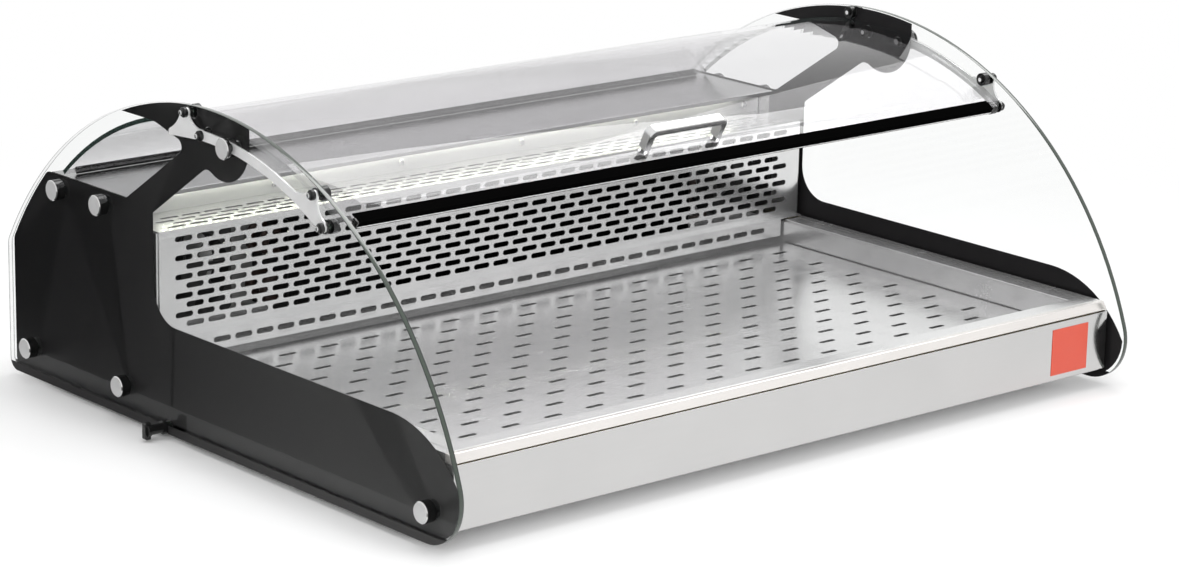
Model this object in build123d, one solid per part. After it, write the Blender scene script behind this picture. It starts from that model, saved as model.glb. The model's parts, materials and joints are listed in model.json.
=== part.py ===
from build123d import *
import math
import os

# A counter-top display case for fish on ice, with a sliding curved canopy.
# Millimetres. +X is to the right, -Y to the front, +Z up; the origin is on the table under the middle.
# A depth is measured forward from the rear edge of the side glasses, a height up from their bottom edge.

# Side glasses
case_width = 800.0
glass_thickness = 5.0
panel_lift = 5.0
arc_radius = 370.0
arc_drop = 66.0
rear_reach = 318.0
nose_radius = 42.0
heel_radius = 12.0
crown_radius = 14.0

# Black print on the inner face of the side glasses
print_thickness = 0.2
print_margin = 3.0
print_arc_margin = 1.0
print_body_height = 200.0
window_depth = 232.0
window_radius = 33.0
window_arm_height = 195.0
sill_height = 97.0
sill_curve_radius = 108.5
sill_curve_reach = 95.7
band_reach = 59.5
lobe_radius = 38.0
lobe_drop = 22.5
lobe_aim_drop = 13.5
throat_radius = 12.0
rear_window_depth = 190.0
rear_window_tip_reach = 31.0
rear_window_tip_drop = 39.3
rear_window_top_drop = 26.0
rear_window_top_reach = 83.0
rear_window_corner_radius = 7.0
rear_window_shoulder_radius = 60.0
print_corner_radius = 12.0

# Canopy glass and what it carries
canopy_inset = 14.5
canopy_thickness = 4.0
canopy_side_gap = 3.0
canopy_front_angle = 30.7
bar_length_along_arc = 11.5
bar_thickness = 7.0
bar_grip = 5.0
bar_fit = 0.2
bar_end_gap = 21.0
bar_cap_thickness = 2.0
trim_width = 0.9
trim_inset = 0.9
trim_depth = 0.6
trim_proud = 0.2
strip_length_along_arc = 3.6
strip_thickness = 5.6
strip_grip = 2.4
rest_gap = 0.3
handle_length = 92.0
handle_height = 22.0
handle_width = 10.0
handle_bar = 6.0
handle_angle = 27.0
handle_corner_radius = 4.0
handle_screw_radius = 2.0
handle_screw_head_radius = 4.0
handle_screw_head = 2.2
handle_screw_seat = 0.03
handle_screw_depth = 11.0
handle_chamfer = 1.0

# Arms, their bolts and the bushes that guide the canopy
arm_thickness = 2.0
arm_half_width = 4.3
arm_spacer_length = 1.0
arm_spacer_radius = 5.5
lobe_spacer_radius = 8.0
outer_bush_length = 3.5
outer_bush_radius = 4.5
bolt_radius = 2.0
bolt_head_radius = 3.0
bolt_head = 2.0
bolt_fit = 0.1
guide_bush_length = 6.0
guide_bush_radius = 6.1
guide_gap = 0.4
guide_nut = 2.0
guide_nut_radius = 3.4
rear_upper_angle = -3.6
rear_lower_angle = 0.0
front_upper_angle = 26.1
front_lower_angle = 29.8
front_root_angle = 23.0
arm_tip_radius = 4.2
arm_tail_angle = -7.6
arm_tail_radius = 2.8

# Bites that hollow an arm's heads: angle, rise above the canopy's middle line, and radius
rear_bites = ((-8.9, 22.0, 30.0), (-0.2, 17.5, 21.2))
front_bites = ((22.2, 16.5, 20.0), (29.5, 14.3, 17.0))

# Clamps that hold the side glasses
cap_radius = 9.5
cap_height = 9.6
cap_face = 4.0
cap_chamfer = 0.8
lobe_cap_shank_radius = 4.0
lobe_cap_shank = 5.0
lobe_cap_angle = 7.1
stud_radius = 3.0
stud_fit = 0.1
washer_radius = 8.0
washer_thickness = 4.0
print_clearance = 0.3
nut_radius = 4.8
nut_height = 4.0
nut_clearance = 1.0
lobe_nut_radius = 4.8
upper_clamp_height = 189.0
upper_clamp_depths = (90.5, 160.5)
lower_clamp_height = 29.0
lower_clamp_depths = (39.5, 192.0)
front_clamp_setback = 38.3

# Base
sheet = 1.2
side_plate_thickness = 2.0
base_height = 14.5
rim_height = 78.0
rim_thickness = 1.5
face_setback = 18.7
face_top_height = 69.5
face_return = 12.0
lip_seam = 0.7
lip_depth = 11.0
lip_bevel = 5.5
lip_round = 2.0
side_flange_width = 8.5
rim_seam = 1.0
rim_side_width = 15.5
rim_front_width = 16.0
floor_flange = 12.0
body_fit = 0.2
overshoot = 1.0

# Well, ice tray and drain
well_wall = 1.0
well_rim_overlap = 3.0
well_flange = 9.0
well_rear_depth = 178.0
well_floor_height = 36.0
tray_gap = 2.5
tray_sheet = 1.0
tray_deck_height = 56.0
tray_slot_pitch_x = 46.7
tray_slot_pitch_y = 26.0
tray_slot_margin = 24.0
insulation_gap = 0.3
insulation_top_height = 68.0
drain_x_inset = 55.0
drain_depth = 254.0
drain_axis_height = 5.0
drain_flange_radius = 10.5
drain_flange = 1.5
drain_tail_radius = 8.0
drain_tail_bore = 6.0
drain_slot_radius = 1.2
drain_slot_ring = 3.6
drain_slot_count = 6
pipe_radius = 4.5
pipe_bore = 3.0
pipe_socket_radius = 11.0
pipe_end_outreach = 15.5
pipe_flange_radius = 6.2
pipe_flange = 2.4
pipe_glass_fit = 0.4
pipe_print_margin = 1.0
knob_radius = 5.6
knob_rim = 4.0
knob_gap = 0.4
knob_wing_length = 15.4
knob_wing_width = 4.6
knob_wing_height = 2.2
knob_stem_fit = 0.05

# Air grille and the wall behind it
grille_depth = 232.0
grille_top_height = 176.0
grille_bottom_height = 80.0
grille_step = 8.0
grille_foot_height = 62.0
slot_length = 18.7
slot_width = 5.1
slot_pitch = 23.4
slot_row_pitch = 8.7
slot_rows = 10
slot_first_row_drop = 9.2
slot_edge_margin = 12.0
top_slot_rows = 4
top_slot_row_pitch = 9.8
top_slot_first_row = 8.7
foot_slot_drop = 9.0
wall_depth = 170.0
wall_screw_height = 184.6
wall_screw_end = 21.5
wall_screw_count = 6
wall_screw_radius = 2.0
wall_screw_head_radius = 3.3
wall_screw_head = 1.9
wall_screw_length = 12.0
partition_thickness = 18.0
light_width = 7.0
light_height = 3.6
light_wall = 0.8
light_setback = 0.6
light_end_gap = 30.0
diffuser_thickness = 1.0
diffuser_gap = 0.1

# Housing behind the wall
housing_rear_depth = 8.0
housing_height = 199.0
housing_sheet = 1.5
housing_nose_overhang = 18.0
housing_nose_drop = 4.2
housing_rear_overhang = 1.5
rear_sheet = 1.0
rear_knee_height = 128.0
rear_slope_depth = 66.0
rear_flange_width = 14.0
rear_screw_radius = 1.8
rear_screw_head_radius = 3.6
rear_screw_head = 1.8
rear_screw_length = 6.0
rear_screw_inset = 10.0
rear_screw_count = 3
vent_slot_length = 46.0
vent_slot_width = 4.0
vent_pitch_x = 56.0
vent_pitch_z = 10.0
vent_rows = 9
vent_columns = 5
vent_centre_height = 74.0

# Feet and badge
foot_radius = 9.5
foot_taper = 1.5
foot_edge_radius = 1.5
foot_side_inset = 62.0
foot_rear_depth = 62.0
foot_front_setback = 58.0
foot_stud_radius = 2.5
foot_stud_reach = 2.0
badge_width = 48.0
badge_tall = 44.0
badge_thickness = 0.8
badge_right_inset = 59.5
badge_height = 41.0

# Cold coil in the duct
coil_tube_radius = 4.5
coil_tube_fit = 0.05
coil_tube_overhang = 6.0
coil_fan_gap = 50.0
evaporator_fin_count = 48
evaporator_fin = 0.3
evaporator_end_plate = 1.5
evaporator_rows = 4
evaporator_columns = 2
evaporator_pitch = 22.0
evaporator_first_depth = 190.0
evaporator_first_height = 88.0
evaporator_front_clear = 5.0

# Fans
fan_size = 80.0
fan_depth = 25.0
fan_ring_gap = 3.0
fan_tip_gap = 1.5
fan_hub_radius = 15.0
fan_blade_count = 7
fan_blade_thickness = 1.6
fan_blade_pitch = 35.0
fan_back = 4.0
fan_strut_width = 5.0
fan_pin_radius = 2.0
fan_pin_fit = 0.05
fan_post_radius = 4.0
fan_post_inset = 6.0
fan_side_gap = 14.0
fan_wall_gap = 12.0
condenser_fan_size = 120.0
condenser_fan_depth = 32.0

# Condensing unit
compressor_reach = 170.0
compressor_depth = 82.0
compressor_radius = 54.0
compressor_height = 112.0
compressor_dome_radius = 24.0
compressor_plate_x = 150.0
compressor_plate_y = 110.0
compressor_plate = 3.0
compressor_mount_radius = 9.0
compressor_mount_height = 12.0
compressor_mount_inset = 12.0
terminal_box_x = 34.0
terminal_box_y = 40.0
terminal_box_z = 44.0
terminal_box_rise = 28.0
compressor_port_reach = 18.0
condenser_side_inset = 89.0
condenser_length = 170.0
condenser_fin_count = 40
condenser_rows = 6
condenser_columns = 2
condenser_pitch = 24.0
condenser_first_depth = 74.0
condenser_first_height = 28.0
drier_radius = 7.0
drier_length = 90.0
line_radius = 3.2
line_bend = 12.0
liquid_line_reach = 25.0
liquid_line_depth = 144.0
suction_line_reach = 41.0

# Controls on the rear panel
control_height = 98.0
controller_side_inset = 139.0
controller_width = 76.0
controller_tall = 34.0
controller_bezel = 3.0
controller_body_width = 70.0
controller_body_tall = 28.0
controller_body_depth = 52.0
lens_width = 38.0
lens_tall = 18.0
lens_thickness = 0.8
lens_shift = 14.0
button_width = 7.0
button_tall = 5.0
button_pitch = 10.0
button_shift = -22.0
button_proud = 1.0
button_length = 4.0
button_gap = 0.2
button_travel = 0.8
rocker_reach = 90.0
rocker_frame_width = 21.0
rocker_frame_tall = 30.0
rocker_frame_lip = 2.0
rocker_body_depth = 22.0
rocker_body_inset = 2.0
rocker_width = 13.0
rocker_tall = 22.0
rocker_gap = 0.5
rocker_tilt = 9.0
rocker_rest = -7.0
rocker_round = 16.0
rocker_pin_radius = 1.5
rocker_pin_fit = 0.05
rocker_pin_reach = 1.5
rocker_pin_play = 0.5
inlet_side_inset = 44.0
inlet_height = 52.0
inlet_width = 50.0
inlet_tall = 28.0
inlet_lip = 2.5
inlet_body_width = 28.0
inlet_body_tall = 21.0
inlet_body_depth = 26.0
inlet_socket_width = 24.5
inlet_socket_tall = 16.5
inlet_socket_depth = 16.0
inlet_pin_width = 2.0
inlet_pin_tall = 4.0
inlet_pin_length = 13.0
inlet_pin_spread = 7.0
inlet_pin_step = 2.0

# Rounding of edges, as a share of the thickness that carries them
fold_share = 0.8
head_share = 0.7
edge_share = 0.35

# Worked out from the sizes above
half_width = case_width / 2
glass_inner = half_width - glass_thickness
arc_z = panel_lift - arc_drop
front_reach = nose_radius + math.sqrt((arc_radius - nose_radius) ** 2 - (arc_drop + nose_radius) ** 2)
arc_y = (front_reach - rear_reach) / 2
rear_y = arc_y + rear_reach
front_y = arc_y - front_reach
arc_top = arc_z + arc_radius
canopy_radius = arc_radius - canopy_inset
canopy_low = canopy_radius - canopy_thickness / 2
canopy_high = canopy_radius + canopy_thickness / 2
pin_offset = canopy_thickness / 2 + guide_gap + guide_bush_radius
base_half = glass_inner - washer_thickness
inner_half = base_half - side_plate_thickness
base_z = panel_lift + base_height
floor_top = base_z + sheet
rim_z = panel_lift + rim_height
rim_under = rim_z - rim_thickness
housing_z = panel_lift + housing_height
face_y = front_y + face_setback
lip_back = face_y + lip_depth
rim_half = base_half - side_flange_width - rim_seam
deck_half = rim_half - rim_side_width
deck_front = lip_back + body_fit + rim_front_width
well_half = deck_half - well_rim_overlap
well_front = deck_front + well_rim_overlap
bar_half = half_width - bar_end_gap
fan_x = inner_half - fan_side_gap - fan_size / 2
fan_z = (rim_z + panel_lift + grille_top_height - sheet) / 2
evaporator_half_length = fan_x - fan_size / 2 - coil_fan_gap
liquid_line_x = evaporator_half_length + liquid_line_reach
suction_line_x = evaporator_half_length + suction_line_reach
condenser_low_x = condenser_side_inset - inner_half
condenser_high_x = condenser_low_x + condenser_length
condenser_x = (condenser_low_x + condenser_high_x) / 2
compressor_x = condenser_high_x + compressor_reach
drier_x = liquid_line_x - 2 * line_bend - drier_length
controller_x = inner_half - controller_side_inset
rocker_x = controller_x - rocker_reach
inlet_x = inner_half - inlet_side_inset
rocker_body_width = rocker_frame_width - 2 * rocker_body_inset
rocker_body_tall = rocker_frame_tall - 2 * rocker_body_inset
wall_screw_pitch = 2 * (inner_half - wall_screw_end) / (wall_screw_count - 1)


def fore(depth):
    """Y of a point that lies this far in front of the side glasses' rear edge."""
    return rear_y - depth


def up(height):
    """Z of a point that lies this far above the side glasses' bottom edge."""
    return panel_lift + height


def polar(radius, degrees):
    """(y, z) on a circle about the arc's centre; 0 degrees is the top, positive is forward."""
    angle = math.radians(degrees)
    return (arc_y - radius * math.sin(angle), arc_z + radius * math.cos(angle))


def arc_degrees(length, radius):
    """Angle that a length along an arc takes up."""
    return math.degrees(length / radius)


wall_front = fore(wall_depth) - sheet
grille_y = fore(grille_depth)
drain_x = -inner_half + drain_x_inset
drain_y = fore(drain_depth)
drain_z = up(drain_axis_height)
rear_face = fore(housing_rear_depth) + rear_sheet
nut_hole = nut_radius + nut_clearance
bar_low = canopy_radius - bar_thickness / 2
bar_high = canopy_radius + bar_thickness / 2
bar_top_angle = canopy_front_angle - arc_degrees(bar_grip, canopy_radius)
bar_bottom_angle = bar_top_angle + arc_degrees(bar_length_along_arc, canopy_radius)
strip_low = canopy_radius - strip_thickness / 2
strip_high = canopy_radius + strip_thickness / 2
strip_rear_angle = -math.degrees(math.acos((housing_z + rest_gap - arc_z) / strip_low))
strip_front_angle = strip_rear_angle + arc_degrees(strip_length_along_arc, canopy_radius)
canopy_rear_angle = strip_front_angle - arc_degrees(strip_grip, canopy_radius)
closing_angle = math.degrees(math.acos((rim_z + rest_gap - arc_z) / bar_low)) - bar_bottom_angle


def rect(y_low, y_high, z_low, z_high):
    """Rectangle drawn in (y, z)."""
    return Pos((y_low + y_high) / 2, (z_low + z_high) / 2) * Rectangle(y_high - y_low, z_high - z_low)


def slab(face, x_low, x_high):
    """Solid between two X values, from a face drawn in (y, z)."""
    return extrude(Plane.YZ.offset(x_low) * face, x_high - x_low, dir=(1, 0, 0))


def side_slab(face, inner, outer):
    """Left-hand slab between two distances outward from the side glass's outer face."""
    return slab(face, -half_width - outer, -half_width - inner)


def side_rod(spot, radius, inner, outer):
    """Left-hand round rod along X at a (y, z) spot."""
    return side_slab(Pos(*spot) * Circle(radius), inner, outer)


def side_hex(spot, radius, inner, outer):
    """Left-hand hexagonal rod along X at a (y, z) spot."""
    return side_slab(Pos(*spot) * RegularPolygon(radius, 6), inner, outer)


def block(x_low, x_high, y_low, y_high, z_low, z_high):
    """Box between two corners."""
    middle = Pos((x_low + x_high) / 2, (y_low + y_high) / 2, (z_low + z_high) / 2)
    return middle * Box(x_high - x_low, y_high - y_low, z_high - z_low)


def facing(x, z, width, tall, y_low, y_high):
    """Box between two Y values, given by its middle and size in X and Z."""
    return Pos(x, (y_low + y_high) / 2, z) * Box(width, y_high - y_low, tall)


def rod_x(y, z, x_low, x_high, radius):
    """Round rod along X."""
    return Pos((x_low + x_high) / 2, y, z) * Rot(0, 90, 0) * Cylinder(radius, x_high - x_low)


def rod_y(x, z, y_low, y_high, radius):
    """Round rod along Y."""
    return Pos(x, (y_low + y_high) / 2, z) * Rot(90, 0, 0) * Cylinder(radius, y_high - y_low)


def rod_z(x, y, z_low, z_high, radius):
    """Round rod along Z."""
    return Pos(x, y, (z_low + z_high) / 2) * Cylinder(radius, z_high - z_low)


def mirrored(piece):
    """The right-hand twin of a left-hand piece."""
    return mirror(piece, about=Plane.YZ)


def group(pieces):
    """Several like pieces as one node of separate solids."""
    return Compound([solid for piece in pieces for solid in piece.solids()])


def both_sides(pieces):
    """Left-hand pieces and their right-hand twins."""
    return group(pieces + [mirrored(piece) for piece in pieces])


def rounded(face, spot, radius):
    """Face with the corner nearest to a spot rounded."""
    corner = face.vertices().sort_by_distance((spot[0], spot[1], 0))[0]
    return fillet(corner, radius)


def sector(low, high, first, last):
    """Stretch of a ring about the arc's centre, between two radii and two angles."""
    middle = (first + last) / 2
    outside = ThreePointArc(polar(high, first), polar(high, middle), polar(high, last))
    inside = ThreePointArc(polar(low, last), polar(low, middle), polar(low, first))
    front = Line(polar(high, last), polar(low, last))
    back = Line(polar(low, first), polar(high, first))
    return make_face([outside, front, inside, back])


def slot_spots(half_span, shift, pitch):
    """X of evenly spaced slots, centred on the case; shift is 1 for a row that is set half a pitch over."""
    count = int(2 * half_span / pitch) + 1 - shift
    return [(index - (count - 1) / 2) * pitch for index in range(count)]


def perforated(outline, slots, plane, thickness):
    """Flat plate with a slot through it at each (x, v) spot of its own plane."""
    holes = [(Pos(x, v) * SlotOverall(slot_length, slot_width)).wire() for x, v in slots]
    face = Face(outline.wire(), holes)
    return extrude(plane * face, thickness, dir=plane.z_dir)


# Side glasses and print

def glass_outline(inset, arc_inset):
    """Outline of a side glass, drawn in by one inset at its straight edges and another at its arc."""
    radius = arc_radius - arc_inset
    low = panel_lift + inset
    rear = rear_y - inset
    face = (Pos(arc_y, arc_z) * Circle(radius)) & rect(front_y - nose_radius, rear, low, arc_top)
    corner_y = arc_y - math.sqrt(radius ** 2 - (low - arc_z) ** 2)
    crown_z = arc_z + math.sqrt(radius ** 2 - (rear - arc_y) ** 2)
    face = rounded(face, (rear, low), heel_radius - inset)
    face = rounded(face, (corner_y, low), nose_radius - arc_inset)
    return rounded(face, (rear, crown_z), crown_radius - inset)


def print_outline():
    """Outline of the black print: body, sill, slanted arm, top band and round lobe."""
    window_y = fore(window_depth)
    band_y = arc_y - band_reach
    lobe = (band_y + lobe_radius, arc_top - lobe_drop)
    top = arc_top + lobe_drop
    curve_y = front_y + sill_curve_reach
    body = rect(window_y, rear_y, panel_lift, up(print_body_height))
    sill = rect(curve_y, rear_y, panel_lift, up(sill_height))
    curve = Pos(curve_y, up(sill_height - sill_curve_radius)) * Circle(sill_curve_radius)
    sill += curve & rect(front_y - nose_radius, curve_y, panel_lift, up(sill_height))
    upper = Polygon(
        (window_y, panel_lift),
        (rear_y, panel_lift),
        (rear_y, top),
        (band_y, top),
        (band_y, lobe[1]),
        lobe,
        (lobe[0], lobe[1] - lobe_aim_drop),
        (window_y, up(window_arm_height)),
        align=None,
    )
    tip = (arc_y + rear_window_tip_reach, arc_top - rear_window_tip_drop)
    vee = (fore(rear_window_depth), up(print_body_height))
    shoulder = (arc_y + rear_window_top_reach, arc_top - rear_window_top_drop)
    window = Polygon(
        tip,
        vee,
        (rear_y + lobe_radius, vee[1]),
        (rear_y + lobe_radius, shoulder[1]),
        shoulder,
        align=None,
    )
    window = rounded(window, tip, rear_window_corner_radius)
    window = rounded(window, vee, rear_window_corner_radius)
    window = rounded(window, shoulder, rear_window_shoulder_radius)
    face = upper + Pos(*lobe) * Circle(lobe_radius) - window
    face = (face + body + sill) & glass_outline(print_margin, print_arc_margin)
    face = rounded(face, (window_y, up(sill_height)), window_radius)
    lobe_side = lobe_radius * math.sqrt(0.5)
    face = rounded(face, (lobe[0] + lobe_side, lobe[1] - lobe_side), throat_radius)
    crown = (arc_y + math.sqrt((arc_radius - print_arc_margin) ** 2 - (vee[1] - arc_z) ** 2), vee[1])
    return rounded(face, crown, print_corner_radius)


def clamp_spots():
    """(y, z) of the caps that clamp a side glass to the body."""
    spots = [(fore(depth), up(upper_clamp_height)) for depth in upper_clamp_depths]
    spots += [(fore(depth), up(lower_clamp_height)) for depth in lower_clamp_depths]
    return spots + [(front_y + front_clamp_setback, up(lower_clamp_height))]


def lobe_spot():
    """(y, z) of the cap that clamps the arm to the lobe."""
    return polar(canopy_radius - pin_offset, lobe_cap_angle)


def guide_spots():
    """(y, z) of the four bolts of an arm, above and below the canopy glass."""
    high = canopy_radius + pin_offset
    low = canopy_radius - pin_offset
    return [
        polar(high, rear_upper_angle),
        polar(low, rear_lower_angle),
        polar(high, front_upper_angle),
        polar(low, front_lower_angle),
    ]


def side_glass():
    """Left side glass with its bolt and stud holes."""
    glass = side_slab(glass_outline(0, 0), -glass_thickness, 0)
    for spot in clamp_spots() + [lobe_spot()]:
        glass -= side_rod(spot, stud_radius + stud_fit, -glass_thickness, 0)
    for spot in guide_spots():
        glass -= side_rod(spot, bolt_radius + bolt_fit, -glass_thickness, 0)
    return glass


def pipe_notch(margin):
    """Room for the drain pipe in the lower edge of the left side glass and its print."""
    wide = pipe_radius + pipe_glass_fit + margin
    inner = -half_width + glass_thickness + print_thickness
    notch = rod_x(drain_y, drain_z, -half_width, inner, wide)
    return notch + block(-half_width, inner, drain_y - wide, drain_y + wide, panel_lift, drain_z)


def side_print():
    """Left print, open round what is clamped against the glass."""
    inner = -glass_thickness - print_thickness
    layer = side_slab(print_outline(), inner, -glass_thickness)
    for spot in clamp_spots():
        layer -= side_rod(spot, washer_radius + print_clearance, inner, -glass_thickness)
    for spot in guide_spots():
        layer -= side_rod(spot, guide_bush_radius + print_clearance, inner, -glass_thickness)
    return layer - side_rod(lobe_spot(), lobe_nut_radius + print_clearance, inner, -glass_thickness)


# Arms and canopy guides

def arm_outline():
    """Outline of an arm: strip along the canopy, a tailed rear head and a two-bolt front head."""
    rear_upper, rear_lower, front_upper, front_lower = guide_spots()
    middle = canopy_radius - pin_offset
    tail = polar(middle - arm_half_width + arm_tail_radius, arm_tail_angle)
    root = polar(middle, front_root_angle)
    rear_head = [(rear_upper, arm_tip_radius), (rear_lower, arm_half_width), (tail, arm_tail_radius)]
    front_head = [(front_upper, arm_tip_radius), (front_lower, arm_tip_radius), (root, arm_half_width)]
    face = sector(middle - arm_half_width, middle + arm_half_width, rear_lower_angle, front_lower_angle)
    face += bitten_head(rear_head, rear_bites)
    face += bitten_head(front_head, front_bites)
    for spot in guide_spots():
        face -= Pos(*spot) * Circle(bolt_radius + bolt_fit)
    return face - Pos(*lobe_spot()) * Circle(stud_radius + stud_fit)


def bitten_head(tips, bites):
    """Taut outline round several discs, each a (spot, radius), hollowed between them by bites."""
    edges = [edge for spot, radius in tips for edge in (Pos(*spot) * Circle(radius)).edges()]
    head = make_hull(edges)
    for angle, rise, radius in bites:
        head -= Pos(*polar(canopy_radius + rise, angle)) * Circle(radius)
    for spot, radius in tips:
        head += Pos(*spot) * Circle(radius)
    return head


def arm():
    """Left arm plate."""
    return side_slab(arm_outline(), arm_spacer_length, arm_spacer_length + arm_thickness)


def arm_spacers():
    """Left-hand black spacers between the arm and the side glass."""
    spacers = []
    for spot in guide_spots():
        ring = side_rod(spot, arm_spacer_radius, 0, arm_spacer_length)
        spacers.append(ring - side_rod(spot, bolt_radius + bolt_fit, 0, arm_spacer_length))
    ring = side_rod(lobe_spot(), lobe_spacer_radius, 0, arm_spacer_length)
    spacers.append(ring - side_rod(lobe_spot(), stud_radius + stud_fit, 0, arm_spacer_length))
    return spacers


arm_outside = arm_spacer_length + arm_thickness
bush_outside = arm_outside + outer_bush_length
guide_inside = -glass_thickness - guide_bush_length


def arm_bushes():
    """Black bushes under the bolt heads, and the spacers behind the arms."""
    bushes = arm_spacers()
    for spot in guide_spots():
        bush = side_rod(spot, outer_bush_radius, arm_outside, bush_outside)
        bush = chamfer(bush.edges().sort_by(Axis.X)[0], cap_chamfer)
        bushes.append(bush - side_rod(spot, bolt_radius + bolt_fit, arm_outside, bush_outside))
    return both_sides(bushes)


def arm_bolts():
    """Round-headed bolts through arm, side glass and guide bush."""
    bolts = []
    for spot in guide_spots():
        head = side_rod(spot, bolt_head_radius, bush_outside, bush_outside + bolt_head)
        head = fillet(head.edges().sort_by(Axis.X)[0], bolt_head * fold_share)
        bolts.append(head + side_rod(spot, bolt_radius, guide_inside - guide_nut, bush_outside))
    return both_sides(bolts)


def guide_bushes():
    """Bushes inside the case that the canopy glass slides between."""
    bushes = []
    for spot in guide_spots():
        bush = side_rod(spot, guide_bush_radius, guide_inside, -glass_thickness)
        bushes.append(bush - side_rod(spot, bolt_radius + bolt_fit, guide_inside, -glass_thickness))
    return both_sides(bushes)


def guide_nuts():
    """Left-hand nuts that hold the guide bushes on their bolts."""
    nuts = []
    for spot in guide_spots():
        nut = side_hex(spot, guide_nut_radius, guide_inside - guide_nut, guide_inside)
        nuts.append(nut - side_rod(spot, bolt_radius, guide_inside - guide_nut, guide_inside))
    return nuts


# Clamps of the side glasses

lobe_shank_outside = arm_outside + lobe_cap_shank
lobe_cap_outside = lobe_shank_outside + cap_face


def standoff_caps():
    """Round caps on the outside of the side glasses."""
    caps = []
    for spot in clamp_spots():
        cap = side_rod(spot, cap_radius, 0, cap_height)
        cap = chamfer(cap.edges().sort_by(Axis.X)[0], cap_chamfer)
        caps.append(cap - side_rod(spot, stud_radius, 0, cap_height - cap_face))
    cap = side_rod(lobe_spot(), cap_radius, lobe_shank_outside, lobe_cap_outside)
    cap = chamfer(cap.edges().sort_by(Axis.X)[0], cap_chamfer)
    cap += side_rod(lobe_spot(), lobe_cap_shank_radius, arm_outside, lobe_shank_outside)
    caps.append(cap - side_rod(lobe_spot(), stud_radius, arm_outside, lobe_shank_outside))
    return both_sides(caps)


plate_inside = -glass_thickness - washer_thickness - side_plate_thickness


def standoff_studs():
    """Threaded studs that the caps screw on to."""
    studs = []
    for spot in clamp_spots():
        studs.append(side_rod(spot, stud_radius, plate_inside - nut_height, cap_height - cap_face))
    studs.append(side_rod(lobe_spot(), stud_radius, -glass_thickness - nut_height, lobe_shank_outside))
    return both_sides(studs)


def fixing_nuts():
    """Nuts inside the body, inside the side glass at the lobe, and on the guide bushes."""
    nuts = guide_nuts()
    for spot in clamp_spots():
        nut = side_hex(spot, nut_radius, plate_inside - nut_height, plate_inside)
        nuts.append(nut - side_rod(spot, stud_radius, plate_inside - nut_height, plate_inside))
    low = -glass_thickness - nut_height
    nut = side_hex(lobe_spot(), lobe_nut_radius, low, -glass_thickness)
    nuts.append(nut - side_rod(lobe_spot(), stud_radius, low, -glass_thickness))
    return both_sides(nuts)


def standoff_washers():
    """Rubber washers between the side glasses and the body."""
    low = -glass_thickness - washer_thickness
    washers = []
    for spot in clamp_spots():
        washer = side_rod(spot, washer_radius, low, -glass_thickness)
        washers.append(washer - side_rod(spot, stud_radius + stud_fit, low, -glass_thickness))
    return both_sides(washers)


# Canopy

def handle_plane():
    """Plane on the canopy's outer face under the handle, with Z square to the glass."""
    y, z = polar(canopy_high, handle_angle)
    angle = math.radians(handle_angle)
    return Plane(origin=(0, y, z), x_dir=(1, 0, 0), z_dir=(0, -math.sin(angle), math.cos(angle)))


def handle_screw_spots():
    """Distance of the handle's two screws from its middle."""
    reach = (handle_length - handle_bar) / 2
    return (-reach, reach)


def canopy_glass():
    """Curved sliding glass."""
    half = glass_inner - canopy_side_gap
    glass = slab(sector(canopy_low, canopy_high, canopy_rear_angle, canopy_front_angle), -half, half)
    for x in handle_screw_spots():
        hole = Cylinder(handle_screw_radius + bolt_fit, 3 * canopy_thickness)
        glass -= handle_plane() * Pos(x, 0, 0) * hole
    return glass


def front_bar():
    """Black bar on the canopy's lower edge, grooved for the glass and for the silver line."""
    face = sector(bar_low, bar_high, bar_top_angle, bar_bottom_angle)
    groove_end = canopy_front_angle + arc_degrees(bar_fit, canopy_radius)
    face -= sector(canopy_low - bar_fit, canopy_high + bar_fit, bar_top_angle - overshoot, groove_end)
    face -= trim_section(overshoot)
    half = bar_half - bar_cap_thickness
    return slab(face, -half, half)


def trim_section(proud):
    """Section of the silver line, which stands proud of the bar's lower face."""
    low = bar_low + trim_inset
    seat = bar_bottom_angle - arc_degrees(trim_depth, canopy_radius)
    return sector(low, low + trim_width, seat, bar_bottom_angle + arc_degrees(proud, canopy_radius))


def bar_trim():
    """Silver line let into the bar's lower face."""
    half = bar_half - bar_cap_thickness
    return slab(trim_section(trim_proud), -half, half)


def bar_end_caps():
    """End caps of the bar, cut back round the glass."""
    cap_angle = canopy_front_angle + arc_degrees(bar_fit, canopy_radius)
    face = sector(bar_low, bar_high, cap_angle, bar_bottom_angle)
    return both_sides([slab(face, -bar_half, -bar_half + bar_cap_thickness)])


def pull_handle():
    """D-shaped handle that stands on the canopy glass."""
    inner_length = handle_length - 2 * handle_bar
    outer = Pos(0, handle_height / 2) * Rectangle(handle_length, handle_height)
    outer = fillet(outer.vertices().group_by(Axis.Y)[-1], handle_corner_radius + handle_bar / 2)
    inner = Pos(0, (handle_height - handle_bar) / 2) * Rectangle(inner_length, handle_height - handle_bar)
    inner = fillet(inner.vertices().group_by(Axis.Y)[-1], handle_corner_radius)
    side = Plane.XZ.offset(-handle_width / 2) * (outer - inner)
    handle = extrude(side, handle_width)
    handle = chamfer(handle.edges().filter_by(Axis.X).group_by(Axis.Z)[-1], handle_chamfer)
    for x in handle_screw_spots():
        handle -= Pos(x, 0, handle_screw_depth / 2) * Cylinder(handle_screw_radius, handle_screw_depth)
    return handle_plane() * handle


def handle_screws():
    """Screws through the canopy glass into the handle."""
    screws = []
    for x in handle_screw_spots():
        length = handle_screw_depth + canopy_thickness + handle_screw_seat
        shank = Pos(0, 0, handle_screw_depth - length / 2) * Cylinder(handle_screw_radius, length)
        head = Pos(0, 0, -canopy_thickness - handle_screw_seat - handle_screw_head / 2)
        screw = shank + head * Cylinder(handle_screw_head_radius, handle_screw_head)
        screw = fillet(screw.edges().sort_by(Axis.Z)[0], handle_screw_head / 2)
        screws.append(handle_plane() * Pos(x, 0, 0) * screw)
    return group(screws)


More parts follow.
